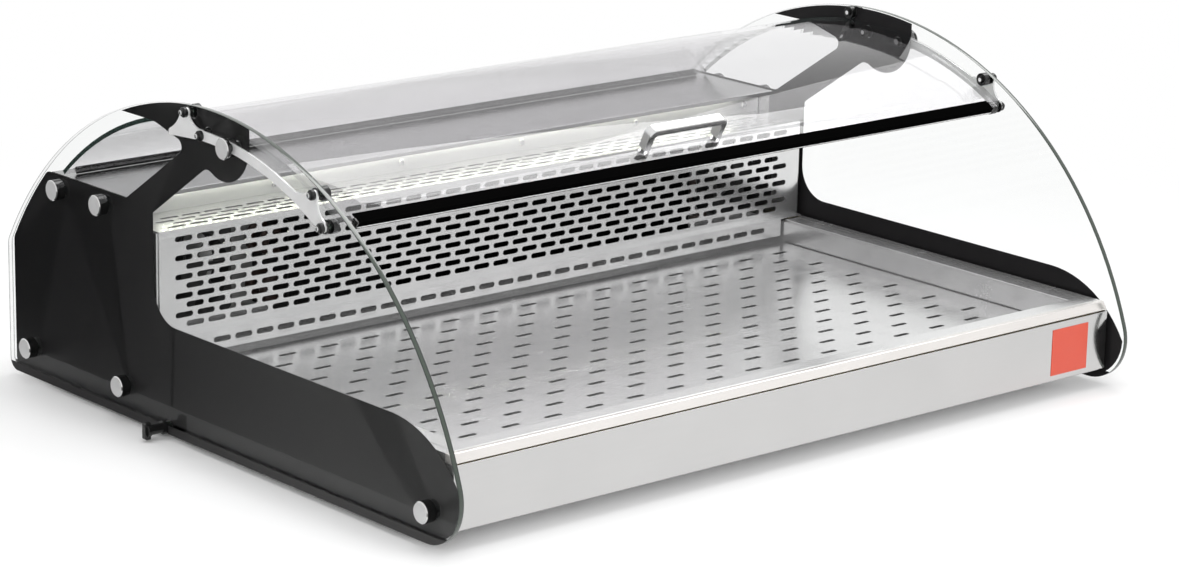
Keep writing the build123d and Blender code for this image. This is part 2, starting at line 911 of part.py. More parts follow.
def rear_strip():
    """Seal strip on the canopy's rear edge."""
    face = sector(strip_low, strip_high, strip_rear_angle, strip_front_angle)
    groove = canopy_rear_angle - arc_degrees(bar_fit, canopy_radius)
    face -= sector(canopy_low - bar_fit, canopy_high + bar_fit, groove, strip_front_angle + overshoot)
    return slab(face, -bar_half, bar_half)


# Base

def side_plate():
    """Left side plate of the body, with a flange beside the rim and one behind the rear panel."""
    back = fore(housing_rear_depth)
    front = face_y + sheet
    duct = grille_y + sheet + body_fit
    step = fore(wall_depth) - housing_nose_overhang + housing_sheet + body_fit
    lip_under = up(face_top_height) + lip_seam - body_fit
    outline = Polygon(
        (front, base_z),
        (back, base_z),
        (back, up(rear_knee_height)),
        (fore(rear_slope_depth), housing_z - housing_sheet),
        (step, housing_z - housing_sheet),
        (step, up(grille_top_height) - sheet),
        (duct, up(grille_top_height) - sheet),
        (duct, rim_z),
        (lip_back + body_fit, rim_z),
        (lip_back + body_fit, lip_under),
        (front, lip_under),
        align=None,
    )
    plate = slab(outline, -base_half, -inner_half)
    flange_end = -base_half + side_flange_width
    flange_rear = grille_y - grille_step - body_fit
    plate += block(-base_half, flange_end, lip_back + body_fit, flange_rear, rim_under, rim_z)
    rear_flange = rect(back - side_plate_thickness, back, floor_top + floor_flange, up(rear_knee_height))
    plate += slab(rear_flange, -base_half, -base_half + rear_flange_width)
    for spot in clamp_spots():
        plate -= side_rod(spot, stud_radius + stud_fit, plate_inside, plate_inside + side_plate_thickness)
    for height in rear_screw_heights():
        screw_x = -base_half + rear_screw_inset
        plate -= rod_y(screw_x, height, back - rear_screw_length, back, rear_screw_radius)
    return plate


def nut_room():
    """Room for the nuts inside the side plates."""
    rods = [side_rod(spot, nut_hole, plate_inside - 2 * nut_height, plate_inside) for spot in clamp_spots()]
    return rods + [mirrored(rod) for rod in rods]


def base_floor():
    """Floor sheet of the base with turned-up edges and holes for the feet and the drain."""
    half = inner_half - body_fit
    front = face_y + sheet + body_fit
    back = fore(housing_rear_depth) - body_fit
    floor = block(-half, half, front, back, base_z, floor_top + floor_flange)
    floor -= block(-half + sheet, half - sheet, front + sheet, back, floor_top, floor_top + floor_flange)
    side_end = back - side_plate_thickness
    floor -= block(-half, half, side_end, back, floor_top, floor_top + floor_flange)
    floor -= nut_room()
    for x, y in foot_spots():
        floor -= rod_z(x, y, base_z, floor_top, foot_stud_radius)
    return floor - rod_z(drain_x, drain_y, base_z, floor_top, drain_tail_radius + body_fit)


def front_fascia():
    """Brushed front face with a return under the base."""
    face = rect(face_y, face_y + sheet, base_z - sheet, up(face_top_height))
    face += rect(face_y, face_y + face_return, base_z - sheet, base_z)
    fascia = slab(face, -base_half, base_half)
    return fillet(fascia.edges().filter_by(Axis.X).group_by(Axis.Y)[0].sort_by(Axis.Z)[0], sheet * fold_share)


def front_lip():
    """Bevelled bright lip above the front face."""
    low = up(face_top_height) + lip_seam
    outline = Polygon(
        (face_y, low),
        (lip_back, low),
        (lip_back, rim_z),
        (face_y + lip_bevel, rim_z),
        align=None,
    )
    outline = rounded(outline, (face_y + lip_bevel, rim_z), lip_round)
    outline = rounded(outline, (face_y, low), lip_round / 2)
    return slab(outline, -base_half, base_half)


def deck_rim():
    """U-shaped rim round the front and sides of the well."""
    back = grille_y - grille_step - body_fit
    rim = block(-rim_half, rim_half, lip_back + body_fit, back, rim_under, rim_z)
    return rim - block(-deck_half, deck_half, deck_front, back, rim_under, rim_z)


def display_well():
    """Well under the deck and the duct, with a flange under the rim and a drain hole."""
    low = up(well_floor_height)
    back = fore(well_rear_depth)
    wall = well_wall
    wide = well_half + well_flange
    well = block(-well_half, well_half, well_front, back, low, rim_under)
    well += block(-wide, wide, well_front - well_flange, back, rim_under - wall, rim_under)
    well -= block(-well_half + wall, well_half - wall, well_front + wall, back - wall, low + wall, rim_under)
    return well - rod_z(drain_x, drain_y, low, low + wall, drain_tail_radius + body_fit)


def well_insulation():
    """Foam block under and round the well."""
    half = inner_half - body_fit - sheet - insulation_gap
    front = face_y + 2 * sheet + body_fit + insulation_gap
    back = fore(wall_depth) - sheet - insulation_gap
    gap = insulation_gap
    low = up(well_floor_height) - gap
    top = up(insulation_top_height)
    wide = well_half + gap
    foam = block(-half, half, front, back, floor_top, top)
    foam -= block(-wide, wide, well_front - gap, fore(well_rear_depth) + gap, low, top)
    foam -= rod_z(drain_x, drain_y, floor_top, low, drain_tail_radius + gap)
    foam -= nut_room()
    for x, y in foot_spots():
        foam -= rod_z(x, y, floor_top, floor_top + foot_stud_reach + gap, foot_stud_radius + gap)
    return foam


def ice_tray():
    """Perforated false bottom that stands in the well on its turned-down edges."""
    half = well_half - well_wall - tray_gap
    front = well_front + well_wall + tray_gap
    back = grille_y - grille_step - tray_gap
    deck_z = up(tray_deck_height)
    low = up(well_floor_height) + well_wall
    middle = (front + back) / 2
    half_depth = (back - front) / 2
    outline = Pos(0, middle) * Rectangle(2 * half, 2 * half_depth)
    rows = int(2 * (half_depth - tray_slot_margin) / tray_slot_pitch_y) + 1
    spots = []
    for row in range(rows):
        y = middle + (row - (rows - 1) / 2) * tray_slot_pitch_y
        spots += [(x, y) for x in slot_spots(half - tray_slot_margin, row % 2, tray_slot_pitch_x)]
    deck = perforated(outline, spots, Plane.XY.offset(deck_z - tray_sheet), tray_sheet)
    under = deck_z - tray_sheet
    edge = tray_sheet
    skirt = block(-half, half, front, back, low, under)
    skirt -= block(-half + edge, half - edge, front + edge, back - edge, low, under)
    return deck + skirt


# Drain

def drain_strainer():
    """Strainer that drops into the well's drain hole and screws into the pipe."""
    low = up(well_floor_height) + well_wall
    strainer = rod_z(drain_x, drain_y, low, low + drain_flange, drain_flange_radius)
    strainer += rod_z(drain_x, drain_y, base_z, low, drain_tail_radius)
    strainer -= rod_z(drain_x, drain_y, base_z, low, drain_tail_bore)
    for index in range(drain_slot_count):
        angle = math.radians(index * 360 / drain_slot_count)
        x = drain_x + drain_slot_ring * math.cos(angle)
        y = drain_y + drain_slot_ring * math.sin(angle)
        strainer -= rod_z(x, y, low, low + drain_flange, drain_slot_radius)
    return strainer


pipe_end = -half_width - pipe_end_outreach


def drain_pipe():
    """Drain elbow under the base, and the flanged pipe that runs out through the left side glass."""
    socket = rod_z(drain_x, drain_y, drain_z - pipe_radius, base_z, pipe_socket_radius)
    pipe = socket + rod_x(drain_y, drain_z, pipe_end, drain_x, pipe_radius)
    seat = -half_width - body_fit
    pipe += rod_x(drain_y, drain_z, seat - pipe_flange, seat, pipe_flange_radius)
    pipe -= rod_z(drain_x, drain_y, drain_z - pipe_bore, base_z, drain_tail_bore)
    return pipe - rod_x(drain_y, drain_z, pipe_end, drain_x, pipe_bore)


def drain_knob():
    """Winged knob that turns in the end of the drain pipe."""
    face = pipe_end - knob_gap
    knob = rod_x(drain_y, drain_z, face - knob_rim, face, knob_radius)
    knob = fillet(knob.edges().filter_by(GeomType.CIRCLE), knob_rim * edge_share / 2)
    wing = block(
        face - knob_rim - knob_wing_height,
        face,
        drain_y - knob_wing_width / 2,
        drain_y + knob_wing_width / 2,
        drain_z - knob_wing_length / 2,
        drain_z + knob_wing_length / 2,
    )
    wing = fillet(wing.edges().filter_by(Axis.Y).group_by(Axis.X)[0], knob_wing_height)
    stem = rod_x(drain_y, drain_z, face, pipe_end + 2 * knob_radius, pipe_bore - knob_stem_fit)
    return knob + wing + stem


# Grille, wall and light

def air_grille():
    """Folded slotted sheet: front with staggered rows, slotted top, step and slotted foot."""
    half = inner_half - body_fit
    top = up(grille_top_height)
    step_z = up(grille_bottom_height)
    foot_y = grille_y - grille_step
    span = half - slot_edge_margin - slot_length / 2
    spots = []
    for row in range(slot_rows):
        z = top - slot_first_row_drop - row * slot_row_pitch
        spots += [(x, z) for x in slot_spots(span, row % 2, slot_pitch)]
    outline = Pos(0, (step_z + top) / 2) * Rectangle(2 * half, top - step_z)
    front = perforated(outline, spots, Plane.XZ.offset(-grille_y - sheet), sheet)
    rear = wall_front - body_fit
    low_y = grille_y + sheet
    spots = []
    for row in range(top_slot_rows):
        y = low_y + top_slot_first_row + row * top_slot_row_pitch
        spots += [(x, y) for x in slot_spots(span, row % 2, slot_pitch)]
    outline = Pos(0, (low_y + rear) / 2) * Rectangle(2 * half, rear - low_y)
    roof = perforated(outline, spots, Plane.XY.offset(top - sheet), sheet)
    ledge = block(-half, half, foot_y + sheet, grille_y + sheet, step_z - sheet, step_z)
    foot_z = up(grille_foot_height)
    spots = [(x, step_z - foot_slot_drop) for x in slot_spots(span - 2 * slot_edge_margin, 1, slot_pitch)]
    foot_half = well_half - well_wall - tray_gap
    outline = Pos(0, (foot_z + step_z) / 2) * Rectangle(2 * foot_half, step_z - foot_z)
    foot = perforated(outline, spots, Plane.XZ.offset(-foot_y - sheet), sheet)
    return front + roof + ledge + foot


def wall_screw_spots():
    """X of the screws along the back wall."""
    return [(index - (wall_screw_count - 1) / 2) * wall_screw_pitch for index in range(wall_screw_count)]


def back_wall():
    """Upright stainless wall behind the grille."""
    half = inner_half - sheet - 2 * body_fit
    wall = block(-half, half, wall_front, wall_front + sheet, floor_top, housing_z - housing_sheet)
    for x in wall_screw_spots():
        wall -= rod_y(x, up(wall_screw_height), wall_front, wall_front + sheet, wall_screw_radius)
    for x, height in line_holes():
        wall -= rod_y(x, height, wall_front, wall_front + sheet, line_radius + body_fit)
    return wall


def wall_screws():
    """Pan-head screws along the back wall."""
    z = up(wall_screw_height)
    screws = []
    for x in wall_screw_spots():
        head = rod_y(x, z, wall_front - wall_screw_head, wall_front, wall_screw_head_radius)
        head = fillet(head.edges().sort_by(Axis.Y)[0], wall_screw_head * head_share)
        screws.append(head + rod_y(x, z, wall_front, wall_front + wall_screw_length, wall_screw_radius))
    return screws


def partition():
    """Insulated partition between the cold duct and the machine space."""
    half = inner_half - nut_height - nut_clearance
    low = fore(wall_depth)
    wall = block(-half, half, low, low + partition_thickness, floor_top, housing_z - housing_sheet)
    for x in wall_screw_spots():
        wall -= rod_y(x, up(wall_screw_height), low, low + wall_screw_length, wall_screw_radius)
    for x, height in line_holes():
        wall -= rod_y(x, height, low, low + partition_thickness, line_radius + body_fit)
    return wall


def light_faces():
    """Front and rear Y of the light channel under the housing's nose."""
    rear = wall_front - light_setback
    return (rear - light_width, rear)


def light_channel():
    """Aluminium channel of the light, fixed under the housing top."""
    front, rear = light_faces()
    top = housing_z - housing_sheet
    half = inner_half - light_end_gap
    low = top - light_height
    channel = block(-half, half, front, rear, low, top)
    return channel - block(-half, half, front + light_wall, rear - light_wall, low, top - light_wall)


def light_diffuser():
    """Diffuser strip in the mouth of the light channel."""
    front, rear = light_faces()
    low = housing_z - housing_sheet - light_height
    half = inner_half - light_end_gap
    inset = light_wall + diffuser_gap
    return block(-half, half, front + inset, rear - inset, low, low + diffuser_thickness)


# Housing

def slope_run():
    """Depth that the rear panel's slanted part covers for each unit square to it."""
    rise = housing_z - housing_sheet - up(rear_knee_height)
    run = rear_slope_depth - housing_rear_depth
    return math.hypot(rise, run) / rise


def housing_top():
    """Top sheet of the housing, with a nose over the light."""
    front = fore(wall_depth) - housing_nose_overhang
    rear = fore(rear_slope_depth) + rear_sheet * slope_run() + housing_rear_overhang
    face = rect(front, rear, housing_z - housing_sheet, housing_z)
    face += rect(front, front + housing_sheet, housing_z - housing_nose_drop, housing_z)
    top = slab(face, -base_half, base_half)
    return fillet(top.edges().filter_by(Axis.X).group_by(Axis.Z)[-1], housing_sheet * fold_share)


def rear_screw_heights():
    """Z of the screws down each end of the rear panel."""
    low = floor_top + floor_flange + rear_screw_inset
    high = up(rear_knee_height) - rear_screw_inset
    return [low + (high - low) * index / (rear_screw_count - 1) for index in range(rear_screw_count)]


def rear_panel():
    """Rear cover, bent forward at the top, with vents and openings for the controls."""
    low_y = fore(housing_rear_depth)
    half = base_half - body_fit
    knee = up(rear_knee_height)
    top = housing_z - housing_sheet
    slope_y = fore(rear_slope_depth)
    lean = math.atan2(housing_rear_depth - rear_slope_depth, top - knee)
    outline = Polygon(
        (low_y, base_z),
        (low_y + rear_sheet, base_z),
        (low_y + rear_sheet, knee - rear_sheet * math.tan(lean / 2)),
        (slope_y + rear_sheet * slope_run(), top),
        (slope_y, top),
        (low_y, knee),
        align=None,
    )
    panel = slab(outline, -half, half)
    spots = []
    for row in range(vent_rows):
        for column in range(vent_columns):
            x = condenser_x + (column - (vent_columns - 1) / 2) * vent_pitch_x
            z = up(vent_centre_height) + (row - (vent_rows - 1) / 2) * vent_pitch_z
            spots.append(Pos(x, z) * SlotOverall(vent_slot_length, vent_slot_width))
    panel -= [extrude(Plane.XZ.offset(-low_y - rear_sheet) * spot, 2 * rear_sheet) for spot in spots]
    panel -= rear_opening(controller_x, up(control_height), controller_body_width, controller_body_tall)
    panel -= rear_opening(rocker_x, up(control_height), rocker_body_width, rocker_body_tall)
    panel -= rear_opening(inlet_x, up(inlet_height), inlet_body_width, inlet_body_tall)
    for height in rear_screw_heights():
        for side in (-1, 1):
            x = side * (base_half - rear_screw_inset)
            panel -= rod_y(x, height, low_y, low_y + rear_sheet, rear_screw_radius)
    return panel


def rear_opening(x, z, width, tall):
    """Cutter for an opening in the rear panel."""
    low_y = fore(housing_rear_depth)
    return facing(x, z, width + 2 * body_fit, tall + 2 * body_fit, low_y, low_y + rear_sheet)


def rear_screws():
    """Screws of the rear panel."""
    low_y = fore(housing_rear_depth)
    screws = []
    for height in rear_screw_heights():
        for side in (-1, 1):
            x = side * (base_half - rear_screw_inset)
            head = rod_y(x, height, rear_face, rear_face + rear_screw_head, rear_screw_head_radius)
            head = fillet(head.edges().sort_by(Axis.Y)[-1], rear_screw_head * head_share)
            screws.append(head + rod_y(x, height, low_y - rear_screw_length, rear_face, rear_screw_radius))
    return screws


# Feet and badge

def foot_spots():
    """(x, y) of the four feet."""
    x = half_width - foot_side_inset
    return [(side * x, y) for side in (-1, 1) for y in (fore(foot_rear_depth), face_y + foot_front_setback)]


def feet():
    """Rubber feet, each with a moulded-in stud through the base floor."""
    pads = []
    for x, y in foot_spots():
        pad = Pos(x, y, base_z / 2) * Rot(180, 0, 0) * Cone(foot_radius, foot_radius - foot_taper, base_z)
        pad = fillet(pad.edges().sort_by(Axis.Z)[0], foot_edge_radius)
        pads.append(pad + rod_z(x, y, base_z, floor_top + foot_stud_reach, foot_stud_radius))
    return group(pads)


def front_badge():
    """Bare square badge on the front face."""
    x = half_width - badge_right_inset
    badge = facing(x, up(badge_height), badge_width, badge_tall, face_y - badge_thickness, face_y)
    return chamfer(badge.edges().group_by(Axis.Y)[0], badge_thickness * edge_share)


# Coils

def coil_spots(first, columns, rows, pitch):
    """(y, z) of a coil's tubes in the order that the refrigerant takes."""
    spots = []
    for column in range(columns):
        heights = [first[1] + row * pitch for row in range(rows)]
        if column % 2:
            heights.reverse()
        spots += [(first[0] - column * pitch, z) for z in heights]
    return spots


def coil_tubes(spots, x_start, x_far):
    """One tube that runs to and fro through a coil, with a half-round bend between runs."""
    path = []
    for index, (y, z) in enumerate(spots):
        first, last = (x_start, x_far) if index % 2 == 0 else (x_far, x_start)
        path.append(Line((first, y, z), (last, y, z)))
        if index + 1 < len(spots):
            next_y, next_z = spots[index + 1]
            bulge = math.hypot(next_y - y, next_z - z) / 2
            top = (last + math.copysign(bulge, last - first), (y + next_y) / 2, (z + next_z) / 2)
            path.append(ThreePointArc((last, y, z), top, (last, next_y, next_z)))
    start = Plane(origin=(x_start, *spots[0]), z_dir=(1, 0, 0)) * Circle(coil_tube_radius)
    return sweep(start, path=Wire(path))


def coil_fins(spots, x_values, thickness, y_low, y_high, z_low, z_high):
    """Thin plates across a coil's tubes."""
    face = rect(y_low, y_high, z_low, z_high)
    holes = [(Pos(*spot) * Circle(coil_tube_radius + coil_tube_fit)).wire() for spot in spots]
    plate = Face(face.wire(), holes)
    return [slab(plate, x - thickness / 2, x + thickness / 2) for x in x_values]


def evaporator_spots():
    """Tubes of the cold coil."""
    first = (fore(evaporator_first_depth), up(evaporator_first_height))
    return coil_spots(first, evaporator_columns, evaporator_rows, evaporator_pitch)


def evaporator_fins():
    """Fins of the cold coil, between two end plates that stand on the back wall."""
    spots = evaporator_spots()
    half = evaporator_half_length
    low_y = grille_y + sheet + evaporator_front_clear
    low_z = up(evaporator_first_height) - evaporator_pitch / 2
    high_z = low_z + evaporator_rows * evaporator_pitch
    step = 2 * half / (evaporator_fin_count + 1)
    fin_x = [-half + step * (index + 1) for index in range(evaporator_fin_count)]
    high_y = fore(evaporator_first_depth) + evaporator_pitch / 2
    fins = coil_fins(spots, fin_x, evaporator_fin, low_y, high_y, low_z, high_z)
    ends = coil_fins(spots, (-half, half), evaporator_end_plate, low_y, wall_front, low_z, high_z)
    return group(fins + ends)


def evaporator_tubes():
    """Tubes of the cold coil."""
    reach = evaporator_half_length + coil_tube_overhang
    return coil_tubes(evaporator_spots(), reach, -reach)


def condenser_spots():
    """Tubes of the warm coil."""
    first = (fore(condenser_first_depth), up(condenser_first_height))
    return coil_spots(first, condenser_columns, condenser_rows, condenser_pitch)


def condenser_fins():
    """Fins of the warm coil, between two end plates that stand on the base floor."""
    spots = condenser_spots()
    low_y = fore(condenser_first_depth) - condenser_columns * condenser_pitch + condenser_pitch / 2
    high_y = fore(condenser_first_depth) + condenser_pitch / 2
    low_z = up(condenser_first_height) - condenser_pitch / 2
    high_z = low_z + condenser_rows * condenser_pitch
    step = (condenser_high_x - condenser_low_x) / (condenser_fin_count + 1)
    fin_x = [condenser_low_x + step * (index + 1) for index in range(condenser_fin_count)]
    fins = coil_fins(spots, fin_x, evaporator_fin, low_y, high_y, low_z, high_z)
    end_x = (condenser_low_x, condenser_high_x)
    ends = coil_fins(spots, end_x, evaporator_end_plate, low_y, high_y, floor_top, high_z)
    return group(fins + ends)


def condenser_tubes():
    """Tubes of the warm coil."""
    high = condenser_high_x + coil_tube_overhang
    return coil_tubes(condenser_spots(), high, condenser_low_x - coil_tube_overhang)


# Fans: modelled with the air leaving along +Z, then turned into place

def fan_frame(size, depth, post):
    """Square fan frame with struts, a bearing plate and posts that carry it."""
    ring = size / 2 - fan_ring_gap
    frame = extrude(RectangleRounded(size, size, fan_post_inset) - Circle(ring), depth)
    plate = Cylinder(fan_hub_radius, fan_back, align=(Align.CENTER, Align.CENTER, Align.MIN))
    for index in range(3):
        strut = Pos(size / 4, 0, fan_back / 2) * Box(size / 2, fan_strut_width, fan_back)
        plate += Rot(0, 0, index * 120 + 90) * strut
    frame += plate & Cylinder(ring + fan_ring_gap / 2, 4 * depth)
    for x in (-1, 1):
        for y in (-1, 1):
            spot = Pos(x * (size / 2 - fan_post_inset), y * (size / 2 - fan_post_inset), -post / 2)
            frame += spot * Cylinder(fan_post_radius, post)
    return frame - Cylinder(fan_pin_radius + fan_pin_fit, 4 * depth)


def fan_rotor(size, depth):
    """Fan rotor with its pin in the bearing plate."""
    tip = size / 2 - fan_ring_gap - fan_tip_gap
    hub_low = fan_back + fan_tip_gap / 2
    height = depth - hub_low - fan_tip_gap / 2
    lift = Pos(0, 0, hub_low + height / 2)
    hub = lift * Cylinder(fan_hub_radius, height)
    hub = fillet(hub.edges().sort_by(Axis.Z)[-1], fan_tip_gap)
    blade_length = tip + fan_tip_gap
    blade = Box(blade_length, height / math.cos(math.radians(fan_blade_pitch)), fan_blade_thickness)
    blades = []
    for index in range(fan_blade_count):
        turn = Rot(0, 0, index * 360 / fan_blade_count)
        blades.append(turn * lift * Pos(blade_length / 2, 0, 0) * Rot(90 - fan_blade_pitch, 0, 0) * blade)
    reach = lift * Cylinder(tip, height)
    rotor = hub
    for item in blades:
        rotor += item & reach
    pin = Pos(0, 0, hub_low / 2) * Cylinder(fan_pin_radius, hub_low)
    return rotor + pin


def duct_fan_place(side):
    """Place of a fan in the duct, facing forward."""
    return Location((side * fan_x, wall_front - fan_wall_gap, fan_z)) * Rot(90, 0, 0)


def condenser_fan_place():
    """Place of the fan behind the warm coil, blowing out through the vents."""
    y = fore(condenser_first_depth) + condenser_pitch / 2 + body_fit
    z = up(condenser_first_height) + (condenser_rows - 1) * condenser_pitch / 2
    return Location((condenser_x, y, z)) * Rot(-90, 0, 0)


# Condensing unit

def compressor_mount_spots():
    """(x, y) of the rubber mounts under the compressor."""
    half_x = compressor_plate_x / 2 - compressor_mount_inset
    half_y = compressor_plate_y / 2 - compressor_mount_inset
    y = fore(compressor_depth)
    return [(compressor_x + x * half_x, y + s * half_y) for x in (-1, 1) for s in (-1, 1)]


def compressor():
    """Welded compressor can on its foot plate, with a terminal box."""
    y = fore(compressor_depth)
    low = floor_top + compressor_mount_height
    plate = Pos(compressor_x, y, low + compressor_plate / 2)
    foot = plate * Box(compressor_plate_x, compressor_plate_y, compressor_plate)
    can_z = low + compressor_plate
    can = rod_z(compressor_x, y, can_z, can_z + compressor_height, compressor_radius)
    can = fillet(can.edges().filter_by(GeomType.CIRCLE).sort_by(Axis.Z)[-1], compressor_dome_radius)
    box_x = compressor_x + compressor_radius - compressor_dome_radius / 2
    box_z = can_z + terminal_box_rise
    face = rect(y - terminal_box_y / 2, y + terminal_box_y / 2, box_z, box_z + terminal_box_z)
    return foot + can + slab(face, box_x, box_x + terminal_box_x)


def compressor_mounts():
    """Rubber mounts under the compressor."""
    return group([
        rod_z(x, y, floor_top, floor_top + compressor_mount_height, compressor_mount_radius)
        for x, y in compressor_mount_spots()
    ])


def line_holes():
    """(x, z) where the liquid and suction lines pass through the back wall and the partition."""
    z = up(evaporator_first_height)
    return [(liquid_line_x, z), (suction_line_x, z)]


def line(points):
    """Bent copper line through a list of points."""
    path = FilletPolyline(*points, radius=line_bend)
    start = Plane(origin=path @ 0, z_dir=path % 0)
    return sweep(start * Circle(line_radius), path=path)


def refrigerant_lines():
    """Discharge, liquid and suction lines; the liquid line carries the filter drier."""
    can_top = floor_top + compressor_mount_height + compressor_plate + compressor_height
    line_z = can_top + 2 * line_bend
    warm = condenser_spots()
    cold = evaporator_spots()
    warm_end = condenser_high_x + coil_tube_overhang
    cold_end = evaporator_half_length + coil_tube_overhang
    cold_z = cold[0][1]
    drop_x = warm_end + 2 * line_bend
    discharge_x = compressor_x - compressor_port_reach
    discharge = line([
        (discharge_x, warm[0][0], can_top),
        (discharge_x, warm[0][0], line_z),
        (drop_x, warm[0][0], line_z),
        (drop_x, *warm[0]),
        (warm_end, *warm[0]),
    ])
    aisle = fore(liquid_line_depth)
    liquid = line([
        (warm_end, *warm[-1]),
        (drop_x + 2 * line_bend, *warm[-1]),
        (drop_x + 2 * line_bend, aisle, warm[-1][1]),
        (liquid_line_x, aisle, warm[-1][1]),
        (liquid_line_x, aisle, cold_z),
        (liquid_line_x, *cold[0]),
        (cold_end, *cold[0]),
    ])
    drier = rod_x(aisle, warm[-1][1], drier_x, drier_x + drier_length, drier_radius)
    drier = fillet(drier.edges().filter_by(GeomType.CIRCLE), drier_radius / 2)
    suction_start = compressor_x + compressor_port_reach
    compressor_y = fore(compressor_depth)
    suction = line([
        (suction_start, compressor_y, can_top),
        (suction_start, compressor_y, line_z),
        (suction_line_x, compressor_y, line_z),
        (suction_line_x, compressor_y, cold_z),
        (suction_line_x, *cold[-1]),
        (cold_end, *cold[-1]),
    ])
    return group([discharge, liquid + drier, suction])


# Controls

def controller():
    """Thermostat body behind the rear panel and its bezel on the outside."""
    z = up(control_height)
    body_front = rear_face - controller_body_depth
    face = rear_face + controller_bezel
    body = facing(controller_x, z, controller_body_width, controller_body_tall, body_front, rear_face)
    bezel = facing(controller_x, z, controller_width, controller_tall, rear_face, face)
    bezel = fillet(bezel.edges().group_by(Axis.Y)[-1], controller_bezel * edge_share)
    unit = body + bezel
    unit -= lens_block(body_fit / 2)
    deep = face + button_proud - button_length - button_travel - button_gap
    for index in range(3):
        unit -= button_block(index, button_gap, deep)
    return unit


def lens_block(gap):
    """Display lens of the controller, grown by a gap for its pocket."""
    face = rear_face + controller_bezel
    wide = lens_width + 2 * gap
    tall = lens_tall + 2 * gap
    return facing(controller_x + lens_shift, up(control_height), wide, tall, face - lens_thickness, face)


def button_block(index, gap, low_y):
    """Controller button, grown by a gap for its pocket."""
    x = controller_x + button_shift
    z = up(control_height) + (1 - index) * button_pitch
    high_y = rear_face + controller_bezel + button_proud
    return facing(x, z, button_width + 2 * gap, button_tall + 2 * gap, low_y, high_y)


def controller_button(index):
    """One push button of the controller."""
    button = button_block(index, 0, rear_face + controller_bezel + button_proud - button_length)
    return fillet(button.edges().group_by(Axis.Y)[-1], button_proud / 2)


def rocker_frame():
    """Body of the mains switch, with the well that its rocker tips in."""
    z = up(control_height)
    face = rear_face + rocker_frame_lip
    low = rear_face - rocker_body_depth
    lip = facing(rocker_x, z, rocker_frame_width, rocker_frame_tall, rear_face, face)
    lip = fillet(lip.edges().group_by(Axis.Y)[-1], rocker_frame_lip * edge_share)
    frame = lip + facing(rocker_x, z, rocker_body_width, rocker_body_tall, low, rear_face)
    wide = rocker_width + 2 * rocker_gap
    frame -= facing(rocker_x, z, wide, rocker_tall + 2 * rocker_gap, face - rocker_round, face)
    reach = wide / 2 + rocker_pin_reach + rocker_pin_play
    pin_hole = rocker_pin_radius + rocker_pin_fit
    return frame - rod_x(rocker_pivot_y(), z, rocker_x - reach, rocker_x + reach, pin_hole)


def rocker_pivot_y():
    """Y of the rocker's pivot."""
    return rear_face + rocker_frame_lip - rocker_round / 2


def rocker():
    """Rocker of the mains switch: two faces that meet at a shallow angle, on a pivot pin."""
    z = up(control_height)
    pivot = rocker_pivot_y()
    face = rear_face + rocker_frame_lip
    half = rocker_tall / 2
    rise = half * math.tan(math.radians(rocker_tilt))
    outline = Polygon(
        (pivot - 2 * rocker_pin_radius, z - rocker_pin_radius),
        (pivot - 2 * rocker_pin_radius, z + rocker_pin_radius),
        (face - rise - rocker_gap, z + half - rocker_gap),
        (face - rocker_gap, z + half - rocker_gap),
        (face - rocker_gap - rise / 2, z),
        (face - rocker_gap, z - half + rocker_gap),
        (face - rise - rocker_gap, z - half + rocker_gap),
        align=None,
    )
    body = slab(outline, rocker_x - rocker_width / 2, rocker_x + rocker_width / 2)
    reach = rocker_width / 2 + rocker_gap + rocker_pin_reach
    body += rod_x(pivot, z, rocker_x - reach, rocker_x + reach, rocker_pin_radius)
    return body.rotate(Axis((0, pivot, z), (1, 0, 0)), rocker_rest)


def mains_inlet():
    """Three-pin mains inlet in the rear panel."""
    z = up(inlet_height)
    face = rear_face + inlet_lip
    deep = face - inlet_socket_depth
    low = rear_face - inlet_body_depth
    lip = facing(inlet_x, z, inlet_width, inlet_tall, rear_face, face)
    lip = fillet(lip.edges().group_by(Axis.Y)[-1], inlet_lip * edge_share)
    inlet = lip + facing(inlet_x, z, inlet_body_width, inlet_body_tall, low, rear_face)
    inlet -= facing(inlet_x, z, inlet_socket_width, inlet_socket_tall, deep, face)
    for shift in (-1, 0, 1):
        pin_x = inlet_x + shift * inlet_pin_spread
        pin_z = z + (inlet_pin_step if shift == 0 else -inlet_pin_step)
        inlet += facing(pin_x, pin_z, inlet_pin_width, inlet_pin_tall, deep, deep + inlet_pin_length)
    return inlet


